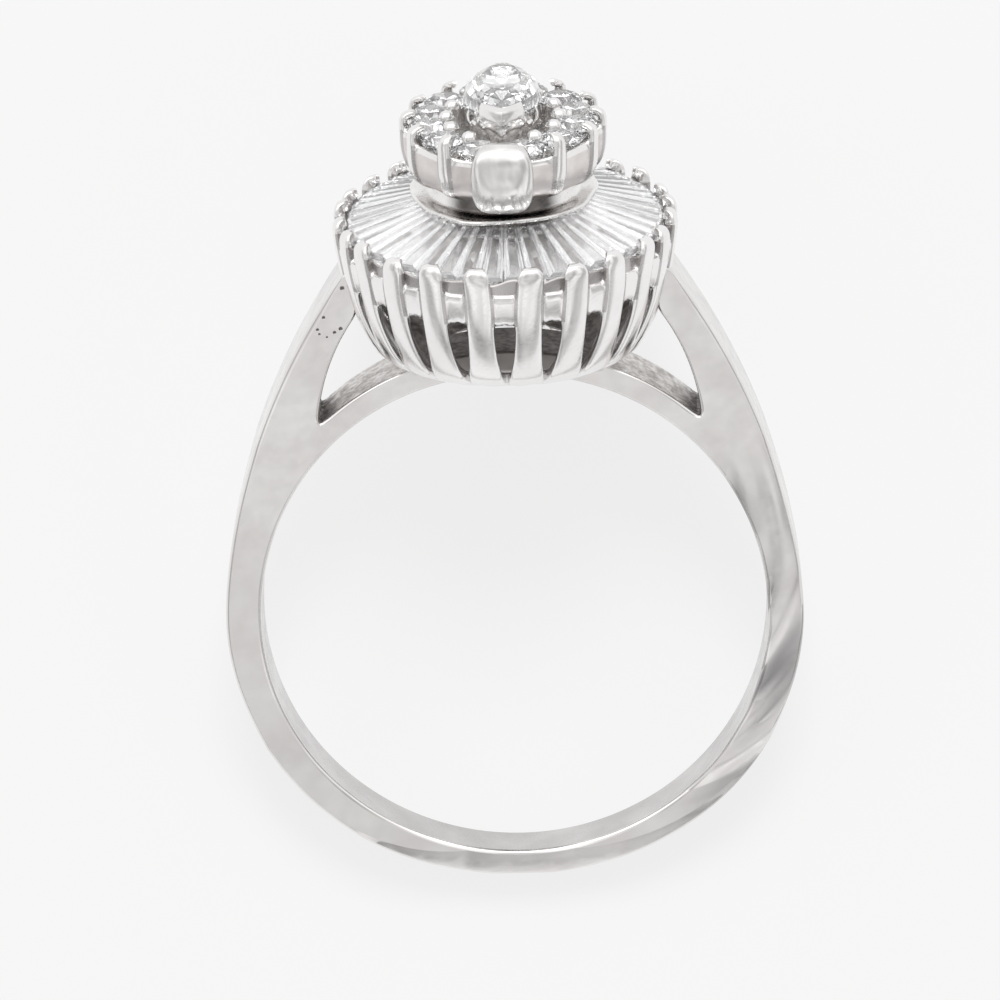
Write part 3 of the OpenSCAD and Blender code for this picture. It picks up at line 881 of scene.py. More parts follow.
@dataclass
class Shank:
    """The band with its two shoulders and the arch under the head, as one solid.

    Its outline lies in the plane across the finger. Each edge has a slightly rounded chamfer, whose
    width follows the real one's: wider at the shoulders, and narrow round the openings.
    """

    finger_r: float = 8.65
    side_r: float = 9.95
    lower_rise: float = 0.25
    base_z: float = 9.65
    shoulder_r: float = 24.0
    shoulder_drop: float = 1.5
    shoulder_top: float = 12.6
    half_gap: float = 5.05
    window_r: float = 7.5
    window_x: float = 1.0
    window_z: float = 6.7
    window_top: float = 11.12
    window_reach: float = 6.5
    corner_step: float = 0.002
    arch_r: float = 9.45
    arch_rise: float = 0.25
    arch_relief: float = 0.3
    relief_loss: float = 0.3
    relief_powers: Range = (1.5, 6)
    base_half: float = 0.9
    top_half: float = 1.4
    edge: float = 0.1
    edge_gain: float = 0.07
    edge_gain_to: float = 9.0
    edge_loss: float = 0.12
    edge_loss_from: float = 11.2
    edge_change: float = 1.2
    inner_edge: float = 0.07
    inner_edge_gain: float = 0.05
    inner_gain_from: float = 8.6
    arch_from: float = 6.0
    arch_near: float = 0.05
    window_from: float = 7.0
    window_near: float = 0.06
    corner_from: float = 6.85
    corner_reach: float = 0.6
    corner_share: float = 0.35
    edge_slopes: tuple[float, ...] = (30, 45, 60)
    hole_edge: float = 0.14
    hole_edge_loss: float = 0.05
    arc_points: int = 80
    window_points: int = 60
    step: float = 0.12
    even_passes: int = 2
    round_passes: int = 160
    round_from: float = 8.7
    hole_count: int = 280
    ridge_gap: float = 0.03
    ridge_width: float = 0.8
    ridge_slope: float = 0.41
    ridge_blend: float = 0.2
    ridge_power: float = 1.8
    ridge_start: float = 12.0
    ridge_ends: Range = (42.0, 66.0)
    walls_lean: float = 0.3
    bowl: Range = (3.0, 8.98)
    hole_finish_near: float = 0.03
    arch_finish_from: float = 6.9
    arch_finish_near: float = 0.06
    under_head_x: float = 3.3
    corner_x: float = 6.25
    corner_heights: Range = (6.8, 8.0)
    corner_near: float = 0.1
    pits: tuple[tuple[float, float, float, float], ...] = (
        (-6.17, -1.37, 11.05, 0.055), (-6.39, -1.36, 10.62, 0.05), (-6.33, -1.35, 10.46, 0.04),
        (-5.82, -1.35, 10.51, 0.055), (-5.61, -1.36, 10.64, 0.065), (-5.51, -1.39, 12.08, 0.07),
        (-6.08, -1.35, 10.35, 0.035), (-5.18, -1.36, 10.94, 0.05),
    )

    def half_width(self, z: float) -> float:
        """Returns half the band's width along the finger at a height."""
        share = (z + self.base_z) / (self.shoulder_top + self.base_z)
        return self.base_half + (self.top_half - self.base_half) * share

    def half_outline(self) -> Pairs:
        """Returns the outer outline's right half, from the base up and back down to the arch's middle."""
        lower_r = hypot(self.side_r, self.lower_rise)
        flat = sqrt(lower_r ** 2 - (self.base_z + self.lower_rise) ** 2)
        points = [(0.0, -self.base_z), (flat * 0.5, -self.base_z)]
        start = atan2(-self.base_z - self.lower_rise, flat)
        end = atan2(-self.lower_rise, self.side_r)
        for k in range(self.arc_points + 1):
            a = start + (end - start) * k / self.arc_points
            points.append((lower_r * cos(a), self.lower_rise + lower_r * sin(a)))
        centre = self.side_r - sqrt(self.shoulder_r ** 2 - self.shoulder_drop ** 2)
        for k in range(1, self.arc_points + 1):
            z = self.shoulder_top * k / self.arc_points
            points.append((centre + sqrt(self.shoulder_r ** 2 - (z + self.shoulder_drop) ** 2), z))
        points.append((self.half_gap, self.shoulder_top))
        low_x, low_z = self.corner()
        for k in range(self.window_points + 1):
            z = self.window_top + (low_z - self.window_top) * k / self.window_points
            points.append((self.lens_x(z), z))
        for k in range(1, self.arc_points + 1):
            x = low_x * (1 - k / self.arc_points)
            points.append((x, self.arch_rise + sqrt(self.arch_r ** 2 - x * x)))
        return points

    def lens_x(self, z: float) -> float:
        """Returns how far out the shoulder's inner side is at a height."""
        return min(-self.window_x + sqrt(self.window_r ** 2 - (z - self.window_z) ** 2), self.window_reach)

    def corner(self) -> tuple[float, float]:
        """Returns the lower corner of the opening, where the shoulder meets the arch."""
        z = self.window_z
        while hypot(self.lens_x(z), z - self.arch_rise) < self.arch_r:
            z += self.corner_step
        return self.lens_x(z), z

    def spaced(self, points: Pairs) -> Pairs:
        """Returns a closed outline with its points evenly spaced and its corners slightly rounded."""
        for _ in range(self.even_passes):
            whole, walked = [], 0.0
            for k, (x, z) in enumerate(points):
                nx, nz = points[(k + 1) % len(points)]
                length = hypot(nx - x, nz - z)
                while walked < length:
                    s = walked / length if length else 0.0
                    whole.append((x + (nx - x) * s, z + (nz - z) * s))
                    walked += self.step
                walked -= length
            points = self.rounded(whole, 0.0)
        for _ in range(self.round_passes):
            points = self.rounded(points, self.round_from)
        return points

    @staticmethod
    def rounded(points: Pairs, beyond: float) -> Pairs:
        """Returns an outline whose points beyond a distance across have moved towards their neighbours."""
        count = len(points)
        return [
            tuple((points[k - 1][i] + 2 * points[k][i] + points[(k + 1) % count][i]) / 4 for i in (0, 1))
            if abs(points[k][0]) >= beyond else points[k]
            for k in range(count)
        ]

    def chamfer(self, x: float, z: float) -> float:
        """Returns how wide the chamfer is at a place of the outer outline."""
        on_arch = z > self.arch_from and hypot(x, z - self.arch_rise) < self.arch_r + self.arch_near
        on_window = z > self.window_from and abs(x) < max(self.lens_x(z), self.half_gap) + self.window_near
        if on_arch or on_window:
            from_corner = max(self.corner_share, min(1.0, (z - self.corner_from) / self.corner_reach))
            gain = self.inner_edge_gain * clamp((self.inner_gain_from - z) / self.edge_change)
            return (self.inner_edge + gain) * from_corner
        if z > self.edge_loss_from:
            loss = self.edge_loss * clamp((z - self.edge_loss_from) / self.edge_change)
            return self.edge + self.edge_gain - loss
        return self.edge + self.edge_gain * clamp(z / self.edge_gain_to)

    def ridge(self, x: float, z: float) -> float:
        """Returns how far in from the outline the front face's ridge is, where its lower part slopes."""
        plain = self.chamfer(x, z) + self.ridge_gap
        if z > 0:
            return plain
        around = degrees(atan2(abs(x), -z))
        far = clamp((around - self.ridge_start) / (self.ridge_ends[x > 0] - self.ridge_start))
        return plain + self.ridge_width * (1 - far) ** self.ridge_power

    def bevelled(self, name: str, outline: Pairs, widths: list[float], into: float,
                 ridges: list[float] | None = None) -> Piece:
        """Builds the wall along an outline, with its front and back chamfers.

        Args:
            name: Name of the piece.
            outline: The outline, anticlockwise seen from the front.
            widths: Width of the chamfer at each of its points.
            into: 1 where the metal is to the left of the outline, or -1 to its right.
            ridges: How far in from each point the front face's ridge is, if it has one.

        Returns:
            The wall.
        """
        count = len(outline)
        inward = []
        for k in range(count):
            dx = outline[(k + 1) % count][0] - outline[k - 1][0]
            dz = outline[(k + 1) % count][1] - outline[k - 1][1]
            size = hypot(dx, dz) or 1.0
            inward.append((-dz / size * into, dx / size * into))
        shares = [(1.0, 0.0)]
        slopes = [radians(angle) for angle in self.edge_slopes]
        unit = 1 / sum(cos(slope) for slope in slopes)
        for slope in slopes:
            inset, drop = shares[-1]
            shares.append((inset - unit * cos(slope), drop + unit * sin(slope)))
        rows = []
        if ridges:
            places = [(x + ix * r, z + iz * r) for (x, z), (ix, iz), r in zip(outline, inward, ridges)]
            rows.append([Vector((x, -self.half_width(z), z)) for x, z in places])
        for side in (-1, 1):
            for inset, drop in (shares if side < 0 else shares[::-1]):
                row = []
                for k, ((x, z), (ix, iz), w) in enumerate(zip(outline, inward, widths)):
                    px, pz = x + ix * w * inset, z + iz * w * inset
                    fall = 0.0
                    if ridges and side < 0:
                        wide = ridges[k] - w - self.ridge_gap
                        fall = wide * self.ridge_slope * min(1.0, wide / self.ridge_blend)
                    row.append(Vector((px, side * (self.half_width(pz) - w * drop - fall), pz)))
                rows.append(row)
        return Bench.raise_rows(name, rows)[0]

    def hole_wall(self) -> Piece:
        """Returns the wall of the finger hole, a little hollowed under the head."""
        hole, widths = [], []
        rise, fall = self.relief_powers
        for k in range(self.hole_count):
            a = 2 * pi * k / self.hole_count
            up = max(0.0, sin(a))
            r = self.finger_r + self.arch_relief * up ** rise * (1 - self.relief_loss * up ** fall)
            hole.append((r * cos(a), r * sin(a)))
            widths.append(self.hole_edge - self.hole_edge_loss * up)
        return self.bevelled("finger_hole_wall", hole, widths, -1)

    @staticmethod
    def close_sides(shank: Piece) -> None:
        """Fills the flat front and back between the two walls."""
        bpy.ops.object.mode_set(mode="EDIT")
        bpy.ops.mesh.select_mode(type="EDGE")
        for side in (-1, 1):
            bpy.ops.mesh.select_all(action="DESELECT")
            mesh = bmesh.from_edit_mesh(shank.data)
            for edge in mesh.edges:
                middle = (edge.verts[0].co + edge.verts[1].co) / 2
                edge.select = len(edge.link_faces) == 1 and middle.y * side > 0
            bmesh.update_edit_mesh(shank.data)
            bpy.ops.mesh.fill(use_beauty=True)
        bpy.ops.mesh.select_all(action="SELECT")
        bpy.ops.mesh.normals_make_consistent(inside=False)
        bpy.ops.mesh.select_mode(type="VERT")
        bpy.ops.object.mode_set(mode="OBJECT")

    def polish(self, shank: Piece, finishes: Finishes) -> None:
        """Gives the shank's faces their finishes by their place."""
        # Front and back faces, with dark reflections painted along the file strokes at the lower right
        sides = PolishedMetal(
            name="polished_shank", rough=0.12, haze=0.1, pits=self.pits, streak=1.6, sway=60e-6,
            tone=(0.88, 0.87, 0.855), dull=(0.79, 0.765, 0.76), bowl=self.bowl, filed=11.0).make()
        # The outer wall: a darker copy of the polished metal, painted shade
        outer = PolishedMetal(
            name="shaded_outer_wall", rough=0.14, haze=0.12, streak=1.6, sway=60e-6,
            tone=(0.82, 0.81, 0.8), dull=(0.72, 0.705, 0.7)).make()
        # The finger hole's wall: a darker copy of the polished metal as painted shade, unpolished inside the
        # bowl
        shaded_hole = PolishedMetal(
            name="shaded_hole_wall", rough=0.16, haze=0.14, streak=1.6, bowl=self.bowl,
            tone=(0.68, 0.67, 0.665), dull=(0.56, 0.55, 0.545)).make()
        Bench.dress(shank, sides, finishes.matt, finishes.inside, shaded_hole, outer)
        for face in shank.data.polygons:
            if abs(face.normal.y) < self.walls_lean:
                face.material_index = self.wall_slot(face)

    def wall_slot(self, face: bpy.types.MeshPolygon) -> ShankSlot:
        """Returns the material slot of a face that lies along the finger."""
        x, _, z = face.center
        if hypot(x, z) < self.finger_r + self.arch_relief + self.hole_finish_near:
            return ShankSlot.HOLE
        from_arch = abs(hypot(x, z - self.arch_rise) - self.arch_r)
        if from_arch < self.arch_finish_near and z > self.arch_finish_from:
            return ShankSlot.UNDER_HEAD if abs(x) < self.under_head_x else ShankSlot.ARCH
        low, high = self.corner_heights
        if low < z < high and self.corner_x < abs(x) < self.lens_x(z) + self.corner_near:
            return ShankSlot.ARCH
        return ShankSlot.OUTER if z < 0 or face.normal.x * x > 0 else ShankSlot.SIDES

    @staticmethod
    def sharpen(shank: Piece) -> None:
        """Marks the edges round the level faces of the front as sharp."""
        mesh = bmesh.new()
        mesh.from_mesh(shank.data)
        sharp = {edge.index for edge in mesh.edges
                 if len({face.normal.y < -0.999 for face in edge.link_faces}) == 2}
        mesh.free()
        for edge in shank.data.edges:
            if edge.index in sharp:
                edge.use_edge_sharp = True

    def build(self, finishes: Finishes) -> Piece:
        """Returns the finished shank."""
        right = self.half_outline()
        left = [(-x, z) for x, z in right[-2:0:-1]]
        outline = self.spaced(right + left)
        outer = self.bevelled("shank", outline, [self.chamfer(x, z) for x, z in outline], 1,
                              [self.ridge(x, z) for x, z in outline])
        shank = Bench.join("shank", [outer, self.hole_wall()])
        self.close_sides(shank)
        self.polish(shank, finishes)
        Bench.shade(shank, 17)
        self.sharpen(shank)
        return Bench.lay_down(shank, Node.SETTING.value, Slot.METAL)


@dataclass
class Skirt:
    """The ribbed bowl with its slots, rim band and claws."""

    ribs: int = 24
    half_x: float = 5.85
    half_y: float = 7.35
    wall: float = 0.42
    groove: float = 0.2
    groove_foot: float = 0.35
    groove_from: float = 9.6
    groove_span: float = 1.6
    groove_rim: float = 0.08
    rim_span: float = 0.5
    steps: int = 3
    slot_from: float = 9.7
    slot_to: float = 12.4
    slot_arching: float = 1.8
    arching_near: float = 0.22
    rim: float = 13.5
    claw_from: float = 13.2
    # Heights between which the ribs' sides take painted crevice shade
    stained_from: float = 12.3
    stained_to: float = 13.9
    across: tuple[float, ...] = (-1.0, -0.8, -0.45, 0.0, 0.45, 0.8, 1.0)
    sunk: tuple[float, ...] = (0.17, 0.06, 0.01, 0.0, 0.01, 0.06, 0.17)
    gaps: tuple[float, ...] = (0.2, 0.5, 0.8)
    lean: Triples = ((1.1, 2.4, 0.7),)
    uneven: Triples = ((0.05, 4.1, 0.4),)

    def profile(self) -> list[tuple[float, ...]]:
        """Returns rows of height, inset from the claws across and along, sag, and share of a rib."""
        rows = [
            (9.05, 3.15, 4.25, 0.3, 0.95),
            (9.6, 1.75, 2.7, 0.12, 0.94),
            (10.1, 1.1, 1.55, 0.0, 0.9),
            (11.22, 0.57, 0.78, 0.0, 0.7),
            (12.38, 0.24, 0.33, 0.0, 0.625),
            (13.5, 0.05, 0.08, 0.0, 0.59),
            (14.0, 0.0, 0.0, 0.0, 0.6),
            (14.22, 0.05, 0.05, 0.0, 0.54),
            (14.37, 0.15, 0.15, 0.0, 0.4),
            (14.43, 0.38, 0.38, 0.0, 0.2),
        ]
        return blend_rows(rows[:6], self.steps) + blend_rows(rows[5:], 2)[1:]

    def depth(self, z: float) -> float:
        """Returns how deep the grooves between the ribs are at a height."""
        if z > self.slot_to:
            return self.groove - self.groove_rim * clamp((z - self.slot_to) / self.rim_span)
        full = clamp((z - self.groove_from) / self.groove_span)
        return self.groove * (self.groove_foot + (1 - self.groove_foot) * full)

    def rib_middle(self, k: int, claw: float) -> float:
        """Returns a rib's angle, which strays a little in the claw part."""
        return 360 / self.ribs * (k + 0.5) + claw * ripple(k, self.lean)

    def row(self, level: tuple[float, ...]) -> list[Vector]:
        """Returns the points of one row, rib by rib."""
        z, in_x, in_y, sag, share = level
        half = share * 180 / self.ribs
        deep = self.depth(z)
        claw = clamp(z - self.claw_from)
        arching = self.slot_arching if abs(z - self.slot_to) < self.arching_near else 0.0
        points = []
        for k in range(self.ribs):
            middle, after = self.rib_middle(k, claw), self.rib_middle(k + 1, claw)
            rise = claw * ripple(k, self.uneven)
            gap = after - middle - 2 * half
            places = [(middle + half * s, min(sink, deep), rise) for s, sink in zip(self.across, self.sunk)]
            places += [(middle + half + gap * s, deep, -arching * (s - 0.5) ** 2) for s in self.gaps]
            for u, sink, lift in places:
                t = even(u, self.half_x, self.half_y)
                points.append(oval(t, self.half_x - in_x - sink, self.half_y - in_y - sink,
                                   z - sag * sin(radians(t)) ** 2 + lift))
        return points

    def build(self, finishes: Finishes) -> Piece:
        """Returns the finished skirt."""
        levels = self.profile()
        skirt, numbers = Bench.raise_rows("skirt", [self.row(level) for level in levels])
        Bench.dress(skirt, finishes.soft, finishes.inside, finishes.crevice)
        per_rib = len(self.across) + len(self.gaps)
        last = len(self.across) - 2
        sides, gone = set(), set()
        for r, (low, high) in enumerate(zip(levels, levels[1:])):
            z = (low[0] + high[0]) / 2
            for c in range(per_rib * self.ribs):
                if c % per_rib in (0, last) and self.stained_from < low[0] < self.stained_to:
                    sides.add((r, c))
                if c % per_rib > last and (z > self.rim or self.slot_from < z < self.slot_to):
                    gone.add((r, c))
        # The ribs' sides near the claws get painted crevice shade
        Bench.finish_cells(skirt, numbers, sides, 2)
        Bench.cut_cells(skirt, numbers, gone)
        Bench.face_out(skirt)
        return Bench.finish(skirt, 60, self.wall, inner=1)


@dataclass
class Seat:
    """Two rings and the bars between them, which carry the tapered stones."""

    ribs: int = 24
    half_x: float = 5.85
    half_y: float = 7.35
    share: float = 0.72
    thick: float = 0.3
    levels: Triples = (
        (13.33, 5.45, 6.9), (13.52, 4.85, 6.15), (13.98, 3.5, 4.4), (14.12, 2.4, 3.2),
    )
    ledge_points: int = 192
    ledge_waves: Triples = ((0.05, 24, 0.0), (0.06, 17, 0.5))
    ledge_rows: Triples = (
        (13.4, 0.47, 0.0), (13.86, 0.47, 1.0), (13.92, 0.44, 1.0),
        (13.9, 0.4, 1.0), (13.84, 0.37, 1.0), (13.4, 0.36, 0.0),
    )

    def build(self, finishes: Finishes) -> Piece:
        """Returns the finished seat."""
        pitch = 360 / self.ribs
        rows = []
        for z, a, b in self.levels:
            row = []
            for k in range(2 * self.ribs):
                u = pitch * (k // 2 + 0.5) + (-1, 1)[k % 2] * self.share * pitch / 2
                row.append(oval(even(u, self.half_x, self.half_y), a, b, z))
            rows.append(row)
        seat, numbers = Bench.raise_rows("stone_seat", rows)
        Bench.cut_cells(seat, numbers, {(1, c) for c in range(1, 2 * self.ribs, 2)})
        Bench.face_out(seat)
        if sum(face.normal.z for face in seat.data.polygons) < 0:
            seat.data.flip_normals()
        Bench.dress(seat, finishes.soft)
        return Bench.finish(seat, 30, self.thick, soft=False)

    def ledge(self, finishes: Finishes) -> Piece:
        """Returns the thin bearing behind the claws, against which the stones' outer ends stand."""
        rows = []
        for z, inset, share in self.ledge_rows:
            row = []
            for c in range(self.ledge_points):
                t = 360 * c / self.ledge_points
                stray = share * ripple(radians(t), self.ledge_waves)
                row.append(oval(t, self.half_x - inset, self.half_y - inset, z + stray))
            rows.append(row)
        ledge, _ = Bench.raise_rows("stone_bearing", rows, closed=True)
        Bench.face_out(ledge)
        # The whole bearing gets painted crevice shade
        Bench.dress(ledge, finishes.crevice)
        return Bench.finish(ledge, 60, soft=False)


@dataclass
class Collar:
    """The dished sheet that laps over the tapered stones, with its neck."""

    columns: int = 144
    rows: Triples = (
        (13.8, 2.45, 3.3), (14.7, 2.42, 3.26), (14.93, 2.56, 3.36), (14.98, 2.84, 3.58),
        (14.93, 3.1, 3.78), (14.97, 3.17, 3.84), (15.06, 3.17, 3.84), (15.1, 3.09, 3.77),
        (15.08, 2.84, 3.56), (15.06, 2.58, 3.36), (15.12, 2.44, 3.22), (15.45, 2.38, 3.16),
        (15.9, 2.38, 3.16), (15.9, 1.95, 2.7), (13.8, 2.0, 2.75),
    )
    shares: tuple[float, ...] = (0, 0, 0.3, 0.8, 1, 1, 1, 0.7, 0.3, 0, 0, 0, 0, 0, 0)
    flap_at: float = 332.0
    flap_half: float = 13.0
    flap_out: float = 0.22
    out_waves: Triples = ((0.05, 3, 0.8), (0.035, 7, 2.1), (0.02, 13, 0.0))
    up_waves: Triples = ((0.03, 4, 0.4), (0.025, 9, 1.0))

    def wave(self, t: float, share: float) -> tuple[float, float]:
        """Returns how far the hand-cut lip strays outwards and upwards at an angle."""
        flap = self.flap_out * exp(-((t - self.flap_at) / self.flap_half) ** 2)
        out = ripple(radians(t), self.out_waves) + flap
        return out * share, ripple(radians(t), self.up_waves) * share

    def build(self, finishes: Finishes) -> Piece:
        """Returns the collar."""
        rows = []
        for (z, a, b), share in zip(self.rows, self.shares):
            row = []
            for c in range(self.columns):
                t = 360 * c / self.columns
                out, up = self.wave(t, share)
                row.append(oval(t, a + out, b + out, z + up))
            rows.append(row)
        collar, _ = Bench.raise_rows("collar", rows, closed=True)
        Bench.face_out(collar)
        Bench.dress(collar, finishes.dish)
        return Bench.finish(collar, 60)


@dataclass
class Crown:
    """The upper oval cup, with ten slim prongs and a wide prong at each end."""

    prongs: int = 12
    half_x: float = 3.5
    half_y: float = 4.55
    ring_x: float = 2.5
    ring_y: float = 3.62
    slim: float = 4.6
    narrowing: float = 0.9
    narrow_from: float = 17.55
    front_lift: float = 0.14
    lift_from: float = 17.1
    lift_span: float = 0.7
    foot_top: float = 15.6
    foot_relief: float = 0.4
    hollow: float = 0.2
    wall: float = 0.26
    relief: float = 0.2
    wall_top: float = 17.1
    bead: float = 0.29
    bead_inset: float = 0.62
    bead_top: float = 17.8
    bead_foot: float = 0.9
    bead_cut: float = 0.2
    between: int = 8
    across: tuple[float, ...] = (-1.0, -0.7, 0.0, 0.7, 1.0)
    sunk: tuple[float, ...] = (0.16, 0.04, 0.0, 0.04, 0.16)
    wide_rows: tuple[tuple[float, float, float, float], ...] = (
        (15.3, 0.42, 3.85, 3.6), (15.38, 0.64, 4.06, 3.5), (15.54, 0.84, 4.32, 3.45), (15.8, 0.98, 4.55, 3.4),
        (16.25, 1.05, 4.66, 3.5), (16.7, 1.06, 4.68, 3.6), (17.1, 1.03, 4.63, 3.7), (17.36, 0.95, 4.5, 3.8),
        (17.52, 0.84, 4.32, 3.76), (17.6, 0.68, 4.1, 3.72), (17.63, 0.5, 3.95, 3.72),
    )
    wide_points: int = 32
    wide_power: float = 0.8
    deep_power: float = 0.72
    dome: float = 0.16
    dome_from: float = 17.0
    dome_span: float = 0.6
    floor_z: float = 16.2
    floor_thick: float = 0.8
    floor_inset: Range = (0.8, 1.0)
    floor_edge: float = 0.06

    def prong_angle(self, k: int) -> float:
        """Returns a prong's angle from the front."""
        return even(360 * k / self.prongs, self.ring_x, self.ring_y)

    def slim_prongs(self) -> list[int]:
        """Returns the numbers of the slim prongs, which are all but those at the front and back."""
        return [k for k in range(self.prongs) if k % (self.prongs // 2)]

    def profile(self) -> list[tuple[float, ...]]:
        """Returns rows of height, and inset from the prongs across and along."""
        rows = [
            (15.5, 0.98, 1.25), (15.85, 0.28, 0.38), (16.45, 0.04, 0.06), (17.0, 0.0, 0.0),
            (17.5, 0.0, 0.0), (17.74, 0.12, 0.12), (17.86, 0.44, 0.44),
        ]
        return blend_rows(rows[:4], 3) + blend_rows(rows[3:], 2)[1:]

    def row(self, level: tuple[float, ...]) -> list[Vector]:
        """Returns the points of one row, prong by prong."""
        z, in_x, in_y = level
        half = self.slim * (1 - self.narrowing * max(0.0, z - self.narrow_from))
        deep = self.foot_relief if z < self.foot_top else 1.0
        points = []
        for k in range(self.prongs):
            places = [(self.prong_angle(k) + half * s, sink) for s, sink in zip(self.across, self.sunk)]
            first, last = self.prong_angle(k) + half, self.prong_angle(k + 1) - half
            for j in range(1, self.between):
                s = j / self.between
                places.append((first + (last - first) * s, self.relief * (1 + self.hollow * sin(pi * s))))
            beside_front = k in (1, self.prongs - 1)
            lift = self.front_lift * max(0.0, z - self.lift_from) / self.lift_span if beside_front else 0.0
            for t, sink in places:
                sink *= deep
                points.append(oval(t, self.half_x - in_x - sink, self.half_y - in_y - sink, z + lift))
        return points

    def cup(self, finishes: Finishes) -> Piece:
        """Returns the cup with its slim prongs."""
        levels = self.profile()
        cup, numbers = Bench.raise_rows("crown", [self.row(level) for level in levels])
        Bench.dress(cup, finishes.polished, finishes.cup_wall, finishes.crevice)
        per = len(self.across) + self.between - 1
        last = len(self.across) - 2
        sides, gone = set(), set()
        for r, (z, *_) in enumerate(levels[:-1]):
            for c in range(per * self.prongs):
                prong, place = divmod(c, per)
                if place in (0, last) and z < self.wall_top:
                    sides.add((r, c))
                if z > self.wall_top and (place > last or prong not in self.slim_prongs()):
                    gone.add((r, c))
        # The prongs' sides get painted crevice shade
        Bench.finish_cells(cup, numbers, sides, 2)
        Bench.cut_cells(cup, numbers, gone)
        Bench.face_out(cup)
        aims = [oval(self.prong_angle(k), 1, 1, 0) for k in range(self.prongs)]
        for face in cup.data.polygons:
            aim = Vector((face.center.x / self.half_x, face.center.y / self.half_y, 0)).normalized()
            away = min(degrees(aim.angle(other)) for other in aims)
            # The wall between the prongs gets the darker tone of painted shade
            if away > self.slim and face.center.z < self.wall_top:
                face.material_index = 1
        return Bench.finish(cup, 60, self.wall)

    def wide_prongs(self, finishes: Finishes) -> list[Piece]:
        """Returns the two wide prongs, the second a copy of the first."""
        widest = max(half for _, half, _, _ in self.wide_rows)
        rows = []
        for z, half, front, back in self.wide_rows:
            row = []
            dome = self.dome * clamp((z - self.dome_from) / self.dome_span)
            for k in range(self.wide_points):
                a = 2 * pi * k / self.wide_points
                c, s = cos(a), sin(a)
                x = half * abs(c) ** self.wide_power * (1 if c > 0 else -1)
                out = abs(s) ** self.deep_power * (1 if s < 0 else -1)
                y = (front + back) / 2 + (front - back) / 2 * out
                row.append(Vector((x, -y, z + dome * (1 - (x / widest) ** 2))))
            rows.append(row)
        prong, _ = Bench.raise_rows("wide_prong_front", rows, cap=True)
        Bench.face_out(prong)
        Bench.dress(prong, finishes.brushed)
        Bench.soften(prong)
        twin = Bench.copy(prong, "wide_prong_back", Matrix.Rotation(pi, 4, "Z"))
        return [Bench.finish(piece, 60, soft=False) for piece in (prong, twin)]

    def inner_prongs(self, finishes: Finishes) -> Piece:
        """Returns the small round-headed prongs that hold the round stones on their inner side."""
        Bench.clear()
        bpy.ops.mesh.primitive_uv_sphere_add(segments=20, ring_count=12, radius=self.bead, location=(0, 0, 0))
        first = bpy.context.object
        bpy.ops.object.mode_set(mode="EDIT")
        bpy.ops.mesh.select_all(action="DESELECT")
        mesh = bmesh.from_edit_mesh(first.data)
        for vertex in mesh.verts:
            vertex.select = vertex.co.z < -self.bead_cut * self.bead
        mesh.select_flush_mode()
        bmesh.update_edit_mesh(first.data)
        bpy.ops.transform.translate(value=(0, 0, -self.bead_foot))
        bpy.ops.object.mode_set(mode="OBJECT")
        beads = []
        for k in self.slim_prongs():
            place = oval(self.prong_angle(k), self.ring_x - self.bead_inset, self.ring_y - self.bead_inset,
                         self.bead_top - self.bead)
            beads.append(Bench.copy(first, "bead", Matrix.Translation(place)))
        bpy.data.objects.remove(first)
        prongs = Bench.join("inner_prongs", beads)
        Bench.dress(prongs, finishes.polished)
        return Bench.finish(prongs, 60, soft=False)

    def floor(self, finishes: Finishes) -> Piece:
        """Returns the plate inside the cup, under the stones."""
        Bench.clear()
        bpy.ops.mesh.primitive_cylinder_add(vertices=64, radius=1, depth=self.floor_thick,
                                            location=(0, 0, self.floor_z))
        plate = bpy.context.object
        plate.name = plate.data.name = "crown_floor"
        plate.scale = (self.half_x - self.floor_inset[0], self.half_y - self.floor_inset[1], 1)
        bpy.ops.object.transform_apply(location=True, rotation=True, scale=True)
        bpy.ops.object.mode_set(mode="EDIT")
        bpy.ops.mesh.select_all(action="SELECT")
        bpy.ops.mesh.bevel(offset=self.floor_edge, segments=2)
        bpy.ops.object.mode_set(mode="OBJECT")
        Bench.dress(plate, finishes.satin)
        return Bench.finish(plate, 40, soft=False)


@dataclass
class Collet:
    """The boat-shaped carrier of the pointed stone, with a folded claw round each tip."""

    columns: int = 96
    wall: float = 0.2
    rows: Triples = (
        (15.85, 0.7, 2.0), (16.5, 0.88, 2.25), (17.28, 1.1, 2.55), (17.6, 1.3, 2.85), (17.9, 1.42, 3.0),
        (18.2, 1.44, 3.06), (18.46, 1.42, 3.04), (18.62, 1.34, 2.88), (18.68, 1.2, 2.6),
    )
    reach: tuple[int, ...] = (99, 99, 99, 16, 13, 12, 12, 12)

    def build(self, finishes: Finishes) -> Piece:
        """Returns the finished collet."""
        rows = [
            [pointed_oval(360 * c / self.columns, a, b, z) for c in range(self.columns)]
            for z, a, b in self.rows
        ]
        collet, numbers = Bench.raise_rows("collet", rows)
        half = self.columns // 2
        gone = {
            (r, c)
            for r in range(len(rows) - 1)
            for c in range(self.columns)
            if min(c % half, half - 1 - c % half) >= self.reach[r]
        }
        Bench.cut_cells(collet, numbers, gone)
        Bench.face_out(collet)
        Bench.dress(collet, finishes.polished)
        return Bench.finish(collet, 50, self.wall)


@dataclass(frozen=True)
class Facet:
    """A flat that a cutter grinds on a stone.

    Args:
        turn: Its direction round the stone, in degrees from the front.
        slope: Its slope from level, in degrees.
        height: Height at which it meets the stone's widest outline.
        up: 1 above the girdle, or -1 below it.
    """

    turn: float
    slope: float
    height: float
    up: int = 1


